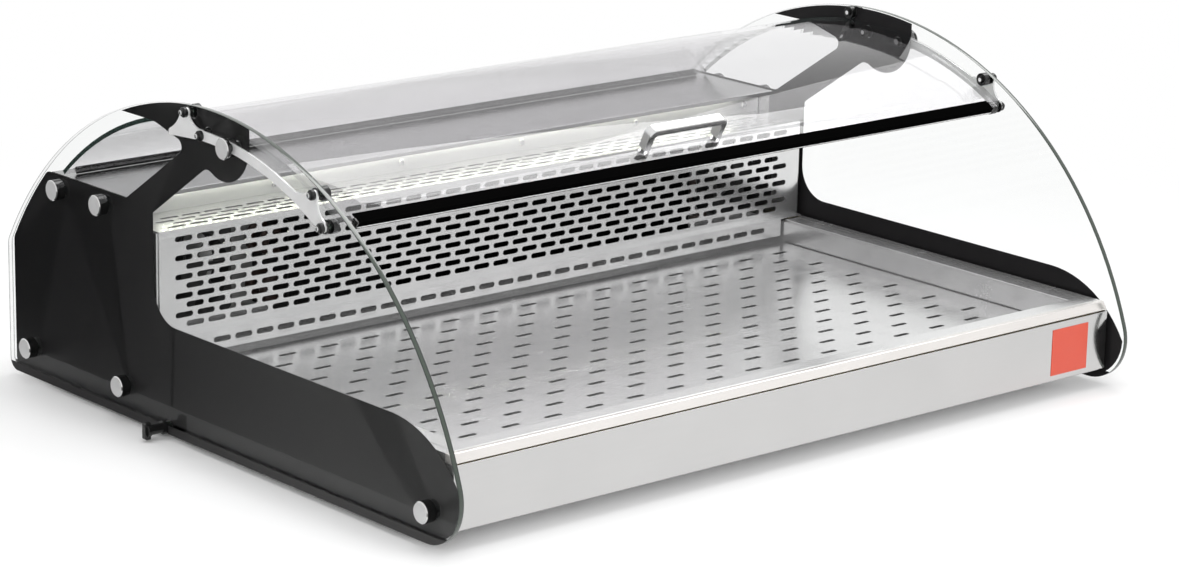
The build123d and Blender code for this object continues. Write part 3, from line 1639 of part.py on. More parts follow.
def build_nodes():
    """Every piece of the case, by node name."""
    left_glass = side_glass()
    left_print = side_print()
    left_plate = side_plate()
    duct_frame = fan_frame(fan_size, fan_depth, fan_wall_gap)
    duct_rotor = fan_rotor(fan_size, fan_depth)
    warm_frame = fan_frame(condenser_fan_size, condenser_fan_depth, body_fit)
    warm_rotor = fan_rotor(condenser_fan_size, condenser_fan_depth)
    nodes = {
        "left_side_glass": left_glass - pipe_notch(0),
        "right_side_glass": mirrored(left_glass),
        "side_prints": group([left_print - pipe_notch(pipe_print_margin), mirrored(left_print)]),
        "canopy_arms": both_sides([arm()]),
        "arm_bushes": arm_bushes(),
        "arm_bolts": arm_bolts(),
        "guide_bushes": guide_bushes(),
        "standoff_caps": standoff_caps(),
        "standoff_studs": standoff_studs(),
        "standoff_washers": standoff_washers(),
        "fixing_nuts": fixing_nuts(),
        "canopy_glass": canopy_glass(),
        "front_bar": front_bar(),
        "bar_trim": bar_trim(),
        "bar_end_caps": bar_end_caps(),
        "pull_handle": pull_handle(),
        "handle_screws": handle_screws(),
        "canopy_rear_strip": rear_strip(),
        "left_side_plate": left_plate,
        "right_side_plate": mirrored(left_plate),
        "base_floor": base_floor(),
        "front_fascia": front_fascia(),
        "front_lip": front_lip(),
        "deck_rim": deck_rim(),
        "display_well": display_well(),
        "well_insulation": well_insulation(),
        "ice_tray": ice_tray(),
        "drain_strainer": drain_strainer(),
        "drain_pipe": drain_pipe(),
        "drain_knob": drain_knob(),
        "air_grille": air_grille(),
        "back_wall": back_wall(),
        "partition": partition(),
        "panel_screws": group(wall_screws() + rear_screws()),
        "light_channel": light_channel(),
        "light_diffuser": light_diffuser(),
        "housing_top": housing_top(),
        "rear_panel": rear_panel(),
        "feet": feet(),
        "front_badge": front_badge(),
        "evaporator_fins": evaporator_fins(),
        "evaporator_tubes": evaporator_tubes(),
        "duct_fan_frames": group([duct_fan_place(side) * duct_frame for side in (-1, 1)]),
        "left_fan_rotor": duct_fan_place(-1) * duct_rotor,
        "right_fan_rotor": duct_fan_place(1) * duct_rotor,
        "condenser_fins": condenser_fins(),
        "condenser_tubes": condenser_tubes(),
        "condenser_fan_frame": condenser_fan_place() * warm_frame,
        "condenser_fan_rotor": condenser_fan_place() * warm_rotor,
        "compressor": compressor(),
        "compressor_mounts": compressor_mounts(),
        "refrigerant_lines": refrigerant_lines(),
        "controller": controller(),
        "controller_lens": lens_block(0),
        "rocker_frame": rocker_frame(),
        "rocker": rocker(),
        "mains_inlet": mains_inlet(),
    }
    for index, name in enumerate(("up", "set", "down")):
        nodes[f"{name}_button"] = controller_button(index)
    return nodes


os.makedirs("parts", exist_ok=True)
for node_name, node_shape in build_nodes().items():
    export_step(node_shape, f"parts/{node_name}.step")
print(f"canopy closes at {closing_angle:.2f} degrees")
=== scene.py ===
"""Looks of a counter-top display case, built round its packed construction model.

Metres. +X is to the right, -Y to the front, +Z up, as in the construction model.
"""

import json
import logging
import math
from dataclasses import dataclass, field
from enum import Enum
from typing import Any, Protocol, Sequence

import bmesh
import bpy
from mathutils import Matrix, Vector


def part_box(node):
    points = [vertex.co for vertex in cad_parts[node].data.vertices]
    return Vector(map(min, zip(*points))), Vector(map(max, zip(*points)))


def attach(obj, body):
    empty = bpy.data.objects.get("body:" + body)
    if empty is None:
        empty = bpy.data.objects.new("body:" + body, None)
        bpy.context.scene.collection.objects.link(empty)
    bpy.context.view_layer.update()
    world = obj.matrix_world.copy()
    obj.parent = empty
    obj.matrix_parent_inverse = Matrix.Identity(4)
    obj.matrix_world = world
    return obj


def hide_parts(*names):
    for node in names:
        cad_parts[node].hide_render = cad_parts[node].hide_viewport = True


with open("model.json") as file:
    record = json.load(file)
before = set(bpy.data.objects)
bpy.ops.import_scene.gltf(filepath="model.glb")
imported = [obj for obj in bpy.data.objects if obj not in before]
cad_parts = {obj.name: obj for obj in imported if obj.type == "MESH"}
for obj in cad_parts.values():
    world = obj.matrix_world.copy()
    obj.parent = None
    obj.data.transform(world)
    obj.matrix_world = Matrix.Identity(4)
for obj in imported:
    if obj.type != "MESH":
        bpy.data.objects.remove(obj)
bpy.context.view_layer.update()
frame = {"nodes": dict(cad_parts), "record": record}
LOG = logging.getLogger("display_case")
MM = 0.001
Colour = tuple[float, float, float, float]


# Node trees

class Value:
    """A value in a node tree; arithmetic on it adds Math nodes."""

    def __init__(self, canvas: "Canvas", socket: bpy.types.NodeSocket) -> None:
        """Wrap a socket of a canvas."""
        self.canvas = canvas
        self.socket = socket

    def __add__(self, other: Any) -> "Value":
        """Sum."""
        return self.canvas.math("ADD", self, other)

    def __radd__(self, other: Any) -> "Value":
        """Sum with a plain number first."""
        return self.canvas.math("ADD", other, self)

    def __sub__(self, other: Any) -> "Value":
        """Difference."""
        return self.canvas.math("SUBTRACT", self, other)

    def __rsub__(self, other: Any) -> "Value":
        """Difference from a plain number."""
        return self.canvas.math("SUBTRACT", other, self)

    def __mul__(self, other: Any) -> "Value":
        """Product."""
        return self.canvas.math("MULTIPLY", self, other)

    def __rmul__(self, other: Any) -> "Value":
        """Product with a plain number first."""
        return self.canvas.math("MULTIPLY", other, self)

    def __truediv__(self, other: Any) -> "Value":
        """Quotient."""
        return self.canvas.math("DIVIDE", self, other)

    def __rtruediv__(self, other: Any) -> "Value":
        """Quotient with a plain number first."""
        return self.canvas.math("DIVIDE", other, self)

    def __pow__(self, other: Any) -> "Value":
        """Power."""
        return self.canvas.math("POWER", self, other)

    def __abs__(self) -> "Value":
        """Distance from zero."""
        return self.canvas.math("ABSOLUTE", self)

    def ramp(self, low: float, high: float) -> "Value":
        """Smooth step from 0 at low to 1 at high.

        Args:
            low: Value at which the step starts.
            high: Value at which it ends.

        Returns:
            The stepped value.
        """
        settings = {"interpolation_type": "SMOOTHSTEP"}
        links = {"Value": self, "From Min": low, "From Max": high}
        return self.canvas.value("ShaderNodeMapRange", settings, links, "Result")


class Canvas:
    """A node tree that is being written."""

    def __init__(self, tree: bpy.types.NodeTree) -> None:
        """Start on an empty tree."""
        self.tree = tree
        tree.nodes.clear()

    def feed(self, socket: bpy.types.NodeSocket, value: Any) -> None:
        """Link a value to a socket, or set the socket's own value.

        Args:
            socket: Input of a node.
            value: Value, output of a node or plain value that it gets.
        """
        if isinstance(value, Value):
            value = value.socket
        if isinstance(value, bpy.types.NodeSocket):
            self.tree.links.new(value, socket)
        else:
            socket.default_value = value

    def add(self, kind: str, settings: dict[str, Any], links: dict[Any, Any]) -> bpy.types.Node:
        """Add a node.

        Args:
            kind: Blender's type name of the node.
            settings: Properties of the node, set before its sockets; "stops" fills a colour ramp.
            links: Values or links of its input sockets, by name or index.

        Returns:
            The new node.
        """
        node = self.tree.nodes.new(kind)
        for key, value in settings.items():
            if key == "stops":
                self.fill_ramp(node.color_ramp, value)
            else:
                setattr(node, key, value)
        for key, value in links.items():
            self.feed(node.inputs[key], value)
        return node

    @staticmethod
    def fill_ramp(ramp: bpy.types.ColorRamp, stops: Sequence[tuple[float, Colour]]) -> None:
        """Give a colour ramp its stops.

        Args:
            ramp: Ramp to fill.
            stops: Place and colour of each stop.
        """
        while len(ramp.elements) < len(stops):
            ramp.elements.new(1.0)
        for element, (place, colour) in zip(ramp.elements, stops):
            element.position = place
            element.color = colour

    def value(self, kind: str, settings: dict[str, Any], links: dict[Any, Any], output: Any = 0) -> Value:
        """Add a node and return one of its outputs."""
        return Value(self, self.add(kind, settings, links).outputs[output])

    def math(self, operation: str, *terms: Any) -> Value:
        """Add a Math node."""
        settings = {"operation": operation}
        return self.value("ShaderNodeMath", settings, dict(enumerate(terms)))


class Tree(Canvas):
    """A Geometry Nodes tree that is being written, with named inputs for its sizes."""

    def __init__(self, name: str) -> None:
        """Start an empty tree with a geometry input and output.

        Args:
            name: Name of the tree.
        """
        super().__init__(bpy.data.node_groups.new(name, "GeometryNodeTree"))
        self.tree.interface.new_socket("Geometry", in_out="INPUT", socket_type="NodeSocketGeometry")
        self.tree.interface.new_socket("Geometry", in_out="OUTPUT", socket_type="NodeSocketGeometry")
        self.entry = self.add("NodeGroupInput", {}, {})
        self.inputs: dict[str, Any] = {}

    def size(self, name: str, kind: str, value: Any) -> Value:
        """Add a named input and keep the value that it gets.

        Args:
            name: Name of the input.
            kind: Blender's type name of its socket.
            value: What the modifier sets it to.

        Returns:
            The input inside the tree.
        """
        self.inputs[name] = value
        self.tree.interface.new_socket(name, in_out="INPUT", socket_type=kind)
        return Value(self, self.entry.outputs[name])

    def join(self, parts: Sequence[Value]) -> Value:
        """Join geometries into one.

        Args:
            parts: Geometries to join.

        Returns:
            The joined geometry.
        """
        node = self.add("GeometryNodeJoinGeometry", {}, {})
        for part in parts:
            self.feed(node.inputs[0], part)
        return Value(self, node.outputs[0])

    def done(self, geometry: Value, material: bpy.types.Material) -> None:
        """Realize instances, set their material and end the tree.

        Args:
            geometry: What the tree has made.
            material: Finish of all of it.
        """
        real = self.value("GeometryNodeRealizeInstances", {}, {"Geometry": geometry})
        dressed = self.value("GeometryNodeSetMaterial", {}, {"Geometry": real, "Material": material})
        self.add("NodeGroupOutput", {}, {"Geometry": dressed})

    def bake(self, start: bpy.types.Mesh) -> bpy.types.Mesh:
        """Run the tree on a mesh.

        Args:
            start: Mesh that the tree's geometry input gets.

        Returns:
            The plain mesh that comes out.
        """
        holder = bpy.data.objects.new(self.tree.name, start)
        bpy.context.scene.collection.objects.link(holder)
        modifier = holder.modifiers.new("Nodes", "NODES")
        modifier.node_group = self.tree
        for item in self.tree.interface.items_tree:
            if item.in_out == "INPUT" and item.name in self.inputs:
                modifier[item.identifier] = self.inputs[item.name]
        seen = holder.evaluated_get(bpy.context.evaluated_depsgraph_get())
        mesh = bpy.data.meshes.new_from_object(seen)
        holder.modifiers.remove(modifier)
        bpy.data.objects.remove(holder)
        return mesh


class Scatter(Tree):
    """Copies of a template on points, each turned to look along its point's "aim"."""

    CLOCK_SEED = 11
    SHANK_SIDES = 16

    def __init__(self, name: str, template: bpy.types.Object, material: bpy.types.Material,
                 shank: float) -> None:
        """Write the tree.

        Args:
            name: Name of the tree.
            template: Object that is copied, made along +Z.
            material: Finish of the copies.
            shank: Radius of a shank that reaches down from each copy, or 0 for none.
        """
        super().__init__(name)
        source = self.size("Template", "NodeSocketObject", template)
        seed = self.size("Seed", "NodeSocketInt", self.CLOCK_SEED)
        radius = self.size("Shank radius", "NodeSocketFloat", shank)
        points = self.entry.outputs["Geometry"]
        shape = self.value("GeometryNodeObjectInfo", {}, {"Object": source}, "Geometry")
        settings = {"data_type": "FLOAT_VECTOR"}
        aim = self.value("GeometryNodeInputNamedAttribute", settings, {"Name": "aim"})
        facing = self.value("FunctionNodeAlignRotationToVector", {"axis": "Z"}, {"Vector": aim})
        settings = {"data_type": "FLOAT"}
        links = {2: 0.0, 3: math.tau, "Seed": seed}
        angle = self.value("FunctionNodeRandomValue", settings, links, 1)
        clock = self.value("FunctionNodeAxisAngleToRotation", {}, {"Axis": (0, 0, 1), "Angle": angle})
        links = {"Rotation": facing, "Rotate By": clock}
        turn = self.value("FunctionNodeRotateRotation", {"rotation_space": "LOCAL"}, links)
        links = {"Points": points, "Instance": shape, "Rotation": turn}
        copies = [self.value("GeometryNodeInstanceOnPoints", {}, links)]
        if shank:
            links = {"Vertices": self.SHANK_SIDES, "Radius": radius, "Depth": 1.0}
            rod = self.value("GeometryNodeMeshCylinder", {}, links, "Mesh")
            links = {"Geometry": rod, "Translation": (0, 0, -0.5)}
            rod = self.value("GeometryNodeTransform", {}, links)
            reach = self.value("GeometryNodeInputNamedAttribute", settings, {"Name": "reach"})
            scale = self.value("ShaderNodeCombineXYZ", {}, {0: 1.0, 1: 1.0, 2: reach})
            links = {"Points": points, "Instance": rod, "Rotation": turn, "Scale": scale}
            copies.append(self.value("GeometryNodeInstanceOnPoints", {}, links))
        self.done(self.join(copies), material)


class Stack(Tree):
    """A template repeated at an even pitch along X."""

    def __init__(self, name: str, template: bpy.types.Object, count: int, first: float, pitch: float,
                 material: bpy.types.Material) -> None:
        """Write the tree.

        Args:
            name: Name of the tree.
            template: Object that is repeated, in place at X 0.
            count: How many copies.
            first: X of the first copy.
            pitch: Distance from one copy to the next.
            material: Finish of the copies.
        """
        super().__init__(name)
        source = self.size("Template", "NodeSocketObject", template)
        number = self.size("Count", "NodeSocketInt", count)
        start = self.size("First", "NodeSocketFloat", first)
        step = self.size("Pitch", "NodeSocketFloat", pitch)
        shape = self.value("GeometryNodeObjectInfo", {}, {"Object": source}, "Geometry")
        place = self.value("ShaderNodeCombineXYZ", {}, {0: start})
        offset = self.value("ShaderNodeCombineXYZ", {}, {0: step})
        links = {"Count": number, "Start Location": place, "Offset": offset}
        line = self.value("GeometryNodeMeshLine", {}, links)
        links = {"Points": line, "Instance": shape}
        self.done(self.value("GeometryNodeInstanceOnPoints", {}, links), material)


class Grain(Enum):
    """Direction that a brushed or rolled pattern runs in, as a stretch of its texture space."""

    ALONG_X = (0.02, 1.0, 1.0)
    ALONG_Z = (1.0, 1.0, 0.02)
    EVEN = (1.0, 1.0, 1.0)


class Paint(Canvas):
    """A material that is being written, with the textures that the finishes share."""

    def __init__(self, name: str) -> None:
        """Start an empty material.

        Args:
            name: Name of the material.
        """
        self.material = bpy.data.materials.new(name)
        self.material.use_nodes = True
        super().__init__(self.material.node_tree)
        self.place = self.value("ShaderNodeTexCoord", {}, {}, "Object")

    def noise(self, size: float, grain: Grain = Grain.EVEN, detail: float = 3.0,
              seed: float = 0.0) -> Value:
        """Cloudy pattern from 0 to 1.

        Args:
            size: Length of one blotch across the grain, in metres.
            grain: Direction that the blotches are drawn out in.
            detail: Octaves of finer blotches.
            seed: Shift that makes one pattern differ from another.

        Returns:
            The pattern.
        """
        links = {"Vector": self.place, "Location": (seed, seed, seed), "Scale": grain.value}
        spot = self.value("ShaderNodeMapping", {}, links, "Vector")
        links = {"Vector": spot, "Scale": 1.0 / size, "Detail": detail}
        return self.value("ShaderNodeTexNoise", {}, links, 0)

    def mix(self, factor: Any, first: Any, second: Any) -> Value:
        """Blend of two colours."""
        settings = {"data_type": "RGBA"}
        return self.value("ShaderNodeMix", settings, {"Factor": factor, 6: first, 7: second}, 2)

    def bump(self, height: Value, depth: float) -> Value:
        """Surface normal of a height pattern that is this deep, in metres."""
        return self.value("ShaderNodeBump", {}, {"Height": height, "Distance": depth}, "Normal")

    def axis(self, name: str, source: str = "Normal") -> Value:
        """One axis of the surface's normal, or of a point's place."""
        vector = self.place if source == "Place" else self.value("ShaderNodeNewGeometry", {}, {}, source)
        return self.value("ShaderNodeSeparateXYZ", {}, {0: vector}, name)

    def surface(self, **sockets: Any) -> bpy.types.Node:
        """Add a Principled shader; socket names have _ for a space.

        Args:
            sockets: Values or links of the shader's sockets.

        Returns:
            The shader node.
        """
        links = {name.replace("_", " "): value for name, value in sockets.items()}
        return self.add("ShaderNodeBsdfPrincipled", {}, links)

    def done(self, shader: bpy.types.Node) -> bpy.types.Material:
        """Send a shader to the output and return the material."""
        self.add("ShaderNodeOutputMaterial", {}, {"Surface": shader.outputs[0]})
        return self.material

    def single(self, **sockets: Any) -> bpy.types.Material:
        """End the material with one Principled shader that has these sockets, and return it."""
        return self.done(self.surface(**sockets))


# Finishes

def grey(level: float, warmth: float = 0.0) -> Colour:
    """Grey of a linear level, a little warmer or cooler."""
    return (level * (1 + warmth), level, level * (1 - warmth), 1.0)


class Finish(Protocol):
    """A finish that can write its material."""

    def paint(self) -> bpy.types.Material:
        """Write the material and return it."""


@dataclass(frozen=True)
class BrushedSteel:
    """Stainless sheet with long brush marks, cloudy patches and a trace of wiping."""

    name: str
    tone: float = 0.66
    warmth: float = 0.0
    roughness: float = 0.22
    grain: Grain = Grain.ALONG_X
    mark: float = 1.1 * MM
    depth: float = 0.004 * MM
    contrast: float = 1.0
    metallic: float = 1.0
    cloud: float = 90 * MM
    smear: float = 35 * MM
    smear_fade: tuple[float, float] = (0.45, 0.75)
    fine_share: float = 0.3
    darker: float = 0.14
    lighter: float = 0.12

    def paint(self) -> bpy.types.Material:
        """Write the material.

        Returns:
            The new material.
        """
        paint = Paint(self.name)
        marks = paint.noise(self.mark, self.grain, detail=4.0)
        fine = paint.noise(self.mark * self.fine_share, self.grain, detail=2.0, seed=3.0)
        clouds = paint.noise(self.cloud, detail=2.0, seed=7.0)
        wiped = paint.noise(self.smear, detail=5.0, seed=11.0).ramp(*self.smear_fade)
        shade = marks * 0.3 + fine * 0.2 + clouds * 0.5
        low = self.tone * (1 - self.darker * self.contrast)
        high = self.tone * (1 + self.lighter * self.contrast)
        colour = paint.mix(shade, grey(low, self.warmth), grey(high, self.warmth))
        rough = self.roughness + (marks - 0.5) * 0.1 + wiped * 0.05
        normal = paint.bump(marks * 0.6 + fine * 0.4, self.depth)
        return paint.single(Base_Color=colour, Metallic=self.metallic, Roughness=rough, Normal=normal)


@dataclass(frozen=True)
class TurnedSteel:
    """Satin turned or cut steel: fine even marks, polished where it isn't square to one axis."""

    name: str
    tone: float = 0.6
    roughness: float = 0.26
    polish: float = 0.12
    metallic: float = 1.0
    face: str = "X"
    face_fade: tuple[float, float] = (0.7, 0.95)
    cut: float = 0.35 * MM
    cloud: float = 14 * MM
    depth: float = 0.006 * MM
    drift: float = 0.15

    def paint(self) -> bpy.types.Material:
        """Write the material.

        Returns:
            The new material.
        """
        paint = Paint(self.name)
        grain = paint.noise(self.cut, detail=4.0)
        clouds = paint.noise(self.cloud, seed=5.0)
        satin = abs(paint.axis(self.face)).ramp(*self.face_fade)
        dark, pale = grey(self.tone * (1 - self.drift)), grey(self.tone * (1 + self.drift))
        colour = paint.mix(grain * 0.5 + clouds * 0.5, dark, pale)
        rough = self.polish + satin * (self.roughness - self.polish) + (grain - 0.5) * 0.06
        normal = paint.bump(grain * satin, self.depth)
        return paint.single(Base_Color=colour, Metallic=self.metallic, Roughness=rough, Normal=normal)


@dataclass(frozen=True)
class CapFinish:
    """Clamp cap: satin steel face and bright chamfer on a gloss black body."""

    name: str = "Clamp_cap"
    tone: float = 0.66
    metallic: float = 0.4
    polish: float = 0.12
    satin: float = 0.2
    black: Colour = (0.006, 0.006, 0.006, 1.0)
    edge: float = 0.25
    edge_fade: float = 0.1
    face_fade: tuple[float, float] = (0.9, 0.97)
    cut: float = 0.5 * MM
    cloud: float = 9 * MM
    depth: float = 0.005 * MM
    drift: float = 0.1

    def paint(self) -> bpy.types.Material:
        """Write the material: metal where the surface faces outwards, black round the side.

        Returns:
            The new material.
        """
        paint = Paint(self.name)
        outward = abs(paint.axis("X"))
        metal = outward.ramp(self.edge, self.edge + self.edge_fade)
        face = outward.ramp(*self.face_fade)
        grain = paint.noise(self.cut, detail=4.0)
        clouds = paint.noise(self.cloud, seed=5.0)
        dark, pale = grey(self.tone * (1 - self.drift)), grey(self.tone * (1 + self.drift))
        steel = paint.mix(grain * 0.5 + clouds * 0.5, dark, pale)
        colour = paint.mix(metal, self.black, steel)
        rough = self.polish + face * (self.satin + (grain - 0.5) * 0.1)
        normal = paint.bump(grain * face, self.depth)
        shine = metal * (1.0 - face * (1.0 - self.metallic))
        return paint.single(Base_Color=colour, Metallic=shine, Roughness=rough, Normal=normal)


@dataclass(frozen=True)
class Moulded:
    """Moulded plastic, rubber, foam or paint: fine spark texture and a slow drift in colour."""

    name: str
    colour: Colour
    lift: Colour
    roughness: float = 0.4
    spark: float = 0.5 * MM
    depth: float = 0.02 * MM
    specular: float = 0.5
    cloud: float = 20 * MM

    def paint(self) -> bpy.types.Material:
        """Write the material.

        Returns:
            The new material.
        """
        paint = Paint(self.name)
        spark = paint.noise(self.spark, detail=3.0)
        clouds = paint.noise(self.cloud, seed=2.0)
        colour = paint.mix(spark * 0.4 + clouds * 0.6, self.colour, self.lift)
        rough = self.roughness + (clouds - 0.5) * 0.12 + (spark - 0.5) * 0.08
        normal = paint.bump(spark, self.depth)
        return paint.single(
            Base_Color=colour, Roughness=rough, Normal=normal, Specular_IOR_Level=self.specular)


@dataclass(frozen=True)
class Pane:
    """Clear glass with faint smears that mirrors more at a glancing angle; below its sill it is printed."""

    name: str
    tint: Colour = (0.99, 0.994, 0.992, 1.0)
    mirror: float = 0.015
    glance: float = 0.6
    sill: float = 0.0
    sill_fade: float = 0.2 * MM
    smear: float = 45 * MM
    smear_fade: tuple[float, float] = (0.5, 0.8)
    glance_power: float = 5.0
    roughness: float = 0.005

    def paint(self) -> bpy.types.Material:
        """Write the material.

        Returns:
            The new material.
        """
        paint = Paint(self.name)
        facing = paint.value("ShaderNodeLayerWeight", {}, {"Blend": 0.5}, "Facing")
        smears = paint.noise(self.smear, detail=5.0).ramp(*self.smear_fade)
        shine = self.mirror + (self.glance - self.mirror) * facing ** self.glance_power
        through = paint.add("ShaderNodeBsdfTransparent", {}, {"Color": self.tint})
        rough = self.roughness + smears * 0.02
        gloss = paint.add("ShaderNodeBsdfGlossy", {}, {"Roughness": rough, "Color": grey(1.0)})
        links = {0: shine, 1: through.outputs[0], 2: gloss.outputs[0]}
        glass = paint.add("ShaderNodeMixShader", {}, links)
        if not self.sill:
            return paint.done(glass)
        height = paint.axis("Z", "Place")
        low = 1.0 - height.ramp(self.sill - self.sill_fade, self.sill + self.sill_fade)
        # Below the sill the glass takes the print's colour, including its painted reflection on the left
        # glass.
        black = paint.surface(
            Base_Color=PRINT.shade(paint), Roughness=PRINT.roughness, Specular_IOR_Level=PRINT.specular)
        links = {0: low, 1: glass.outputs[0], 2: black.outputs[0]}
        return paint.done(paint.add("ShaderNodeMixShader", {}, links))


@dataclass(frozen=True)
class GlassEdge:
    """Polished edge of a pane: dark arrises and a green core, solid or see-through."""

    name: str
    core_x: float
    half: float
    deep: Colour = (0.010, 0.020, 0.014, 1.0)
    core: Colour = (0.2, 0.29, 0.21, 1.0)
    front_alpha: float = 1.0
    rear_alpha: float = 1.0
    turn: float = 0.02
    turn_fade: float = 0.05
    wave: float = 9 * MM
    dark_fade: tuple[float, float] = (0.4, 0.85)
    roughness: float = 0.1
    coat: float = 0.5

    def paint(self) -> bpy.types.Material:
        """Write the material: the core shows in the middle of the pane's thickness.

        Returns:
            The new material.
        """
        paint = Paint(self.name)
        ripple = paint.noise(self.wave, detail=3.0)
        across = abs(abs(paint.axis("X", "Place")) - self.core_x) / self.half
        dark = (across + (ripple - 0.5) * 0.3).ramp(*self.dark_fade)
        colour = paint.mix(dark, self.core, self.deep)
        rough = self.roughness + ripple * 0.12
        rear = paint.axis("Y", "Place").ramp(self.turn, self.turn + self.turn_fade)
        alpha = self.front_alpha + rear * (self.rear_alpha - self.front_alpha) + dark * 0.5
        return paint.single(Base_Color=colour, Roughness=rough, Coat_Weight=self.coat, Alpha=alpha)


@dataclass(frozen=True)
class BackPrint:
    """Gloss black print fired on the back of the glass, with a slow drift in its depth and a painted
    reflection that pales it towards the front of the left glass.
    """

    name: str = "Gloss_black_print"
    black: Colour = (0.012, 0.0114, 0.012, 1.0)
    # Paler grey of the painted reflection, at the front of the left glass.
    reflection_grey: Colour = (0.043, 0.0425, 0.0425, 1.0)
    roughness: float = 0.3
    specular: float = 0.1
    cloud: float = 120 * MM
    peel: float = 2.5 * MM
    reflection_side_fade: tuple[float, float] = (-0.1, 0.1)
    reflection_fade: tuple[float, float] = (-0.26, 0.2)

    def shade(self, paint: Paint) -> Value:
        """Colour of the print, with a painted reflection that pales it towards the front of the left glass.

        Args:
            paint: Material that shows the print.

        Returns:
            The colour.
        """
        clouds = paint.noise(self.cloud, detail=2.0)
        # Painted reflection: the print is paler towards the front, on the left glass only.
        outer = (0.0 - paint.axis("X", "Place")).ramp(*self.reflection_side_fade)
        front = (0.0 - paint.axis("Y", "Place")).ramp(*self.reflection_fade) * outer
        return paint.mix(front + (clouds - 0.5) * 0.12, self.black, self.reflection_grey)

    def paint(self) -> bpy.types.Material:
        """Write the material.

        Returns:
            The new material.
        """
        paint = Paint(self.name)
        peel = paint.noise(self.peel, detail=2.0, seed=4.0)
        rough = self.roughness + peel * 0.1
        return paint.single(
            Base_Color=self.shade(paint), Roughness=rough, Specular_IOR_Level=self.specular)


@dataclass(frozen=True)
class Glow:
    """Opal strip or lamp, brighter in patches along its length."""

    name: str
    strength: float
    pitch: float
    dim: Colour = (0.72, 0.78, 0.62, 1.0)
    bright: Colour = (1.0, 1.0, 0.9, 1.0)
    speckle: float = 2 * MM
    roughness: float = 0.35

    def paint(self) -> bpy.types.Material:
        """Write the material: brighter over each lamp.

        Returns:
            The new material.
        """
        paint = Paint(self.name)
        along = paint.axis("X", "Place")
        wave = paint.math("COSINE", along * (math.tau / self.pitch)) * 0.5 + 0.5
        colour = paint.mix(wave, self.dim, self.bright)
        rough = self.roughness + paint.noise(self.speckle) * 0.1
        return paint.single(
            Base_Color=colour, Roughness=rough, Emission_Color=colour, Emission_Strength=self.strength)


@dataclass(frozen=True)
class Enamel:
    """Printed badge plate: even colour, faint orange peel and slow drift."""

    name: str
    colour: Colour
    edge: Colour
    peel: float = 1.2 * MM
    cloud: float = 25 * MM
    depth: float = 0.01 * MM
    roughness: float = 0.34
    coat: float = 0.25

    def paint(self) -> bpy.types.Material:
        """Write the material.

        Returns:
            The new material.
        """
        paint = Paint(self.name)
        peel = paint.noise(self.peel, detail=2.0)
        clouds = paint.noise(self.cloud, seed=6.0)
        base = paint.mix(clouds * 0.35 + peel * 0.1, self.colour, self.edge)
        rough = self.roughness + peel * 0.1
        normal = paint.bump(peel, self.depth)
        return paint.single(Base_Color=base, Roughness=rough, Normal=normal, Coat_Weight=self.coat)


PRINT = BackPrint()
LAMP_PITCH = 8.3 * MM

FINISHES: dict[str, Finish] = {
    "clear_glass": Pane("Clear_side_glass", sill=13 * MM),
    "canopy_clear": Pane(
        "Clear_canopy_glass", tint=(0.918, 0.914, 0.921, 1.0), mirror=0.05, glance=0.65),
    "black_print": PRINT,
    "satin_steel": TurnedSteel("Satin_steel", tone=0.86, roughness=0.36, metallic=0.4),
    "bolt_steel": TurnedSteel("Bright_bolt_steel", tone=0.78, roughness=0.2, polish=0.14),
    "black_nylon": Moulded("Black_nylon", grey(0.005), grey(0.009), roughness=0.25, depth=0.004 * MM),
    "black_rubber": Moulded("Black_rubber", grey(0.009), grey(0.018), roughness=0.7, depth=0.05 * MM),
    "black_bar": Moulded(
        "Black_anodised_bar", grey(0.0015), grey(0.0025), roughness=0.5, depth=0.004 * MM, specular=0.0),
    "silver_line": BrushedSteel("Bright_trim", tone=0.9, roughness=0.3, metallic=0.5),
    "handle_satin": TurnedSteel("Satin_handle", tone=0.75, roughness=0.3, polish=0.25),
    "brushed_sheet": BrushedSteel("Brushed_sheet", tone=0.76, metallic=0.85),
    "bright_sheet": BrushedSteel("Bright_lip", tone=0.8, warmth=0.035, roughness=0.2, metallic=0.7),
    "foam": Moulded(
        "Poured_foam", (0.62, 0.52, 0.3, 1), (0.72, 0.64, 0.42, 1),
        roughness=0.9, spark=3 * MM, depth=0.3 * MM),
    "rear_sheet": Moulded(
        "Grey_coated_sheet", grey(0.32), grey(0.36), roughness=0.42, spark=1.2 * MM, depth=0.03 * MM),
    # Painted shade: the fins are darkened to near black for the unlit inside behind the grille.
    "aluminium_fins": BrushedSteel("Fin_stock", tone=0.03, roughness=0.38, grain=Grain.ALONG_Z),
    # Painted shade: the copper is darkened to near black, like the fins.
    "copper": Moulded(
        "Dull_copper", (0.018, 0.008, 0.005, 1), (0.03, 0.013, 0.008, 1),
        roughness=0.45, spark=4 * MM, depth=0.01 * MM),
    "black_plastic": Moulded("Black_plastic", grey(0.012), grey(0.022), roughness=0.5, depth=0.03 * MM),
    "compressor_black": Moulded("Black_gloss_paint", grey(0.01), grey(0.018), roughness=0.22),
    "light_profile": BrushedSteel("Light_profile", tone=0.75, roughness=0.35),
    "diffuser_white": Glow("Opal_strip", strength=1.2, pitch=LAMP_PITCH),
    "lens_dark": Moulded(
        "Smoked_lens", (0.02, 0.004, 0.004, 1), (0.03, 0.006, 0.006, 1),
        roughness=0.08, spark=2 * MM, depth=0.002 * MM),
    "button_grey": Moulded("Grey_button", grey(0.2), grey(0.24), roughness=0.45),
    "rocker_green": Moulded(
        "Green_rocker", (0.01, 0.16, 0.04, 1), (0.015, 0.2, 0.055, 1), roughness=0.25),
    "badge_red": Enamel("Red_badge", (0.76, 0.078, 0.036, 1.0), (0.79, 0.105, 0.055, 1.0)),
}

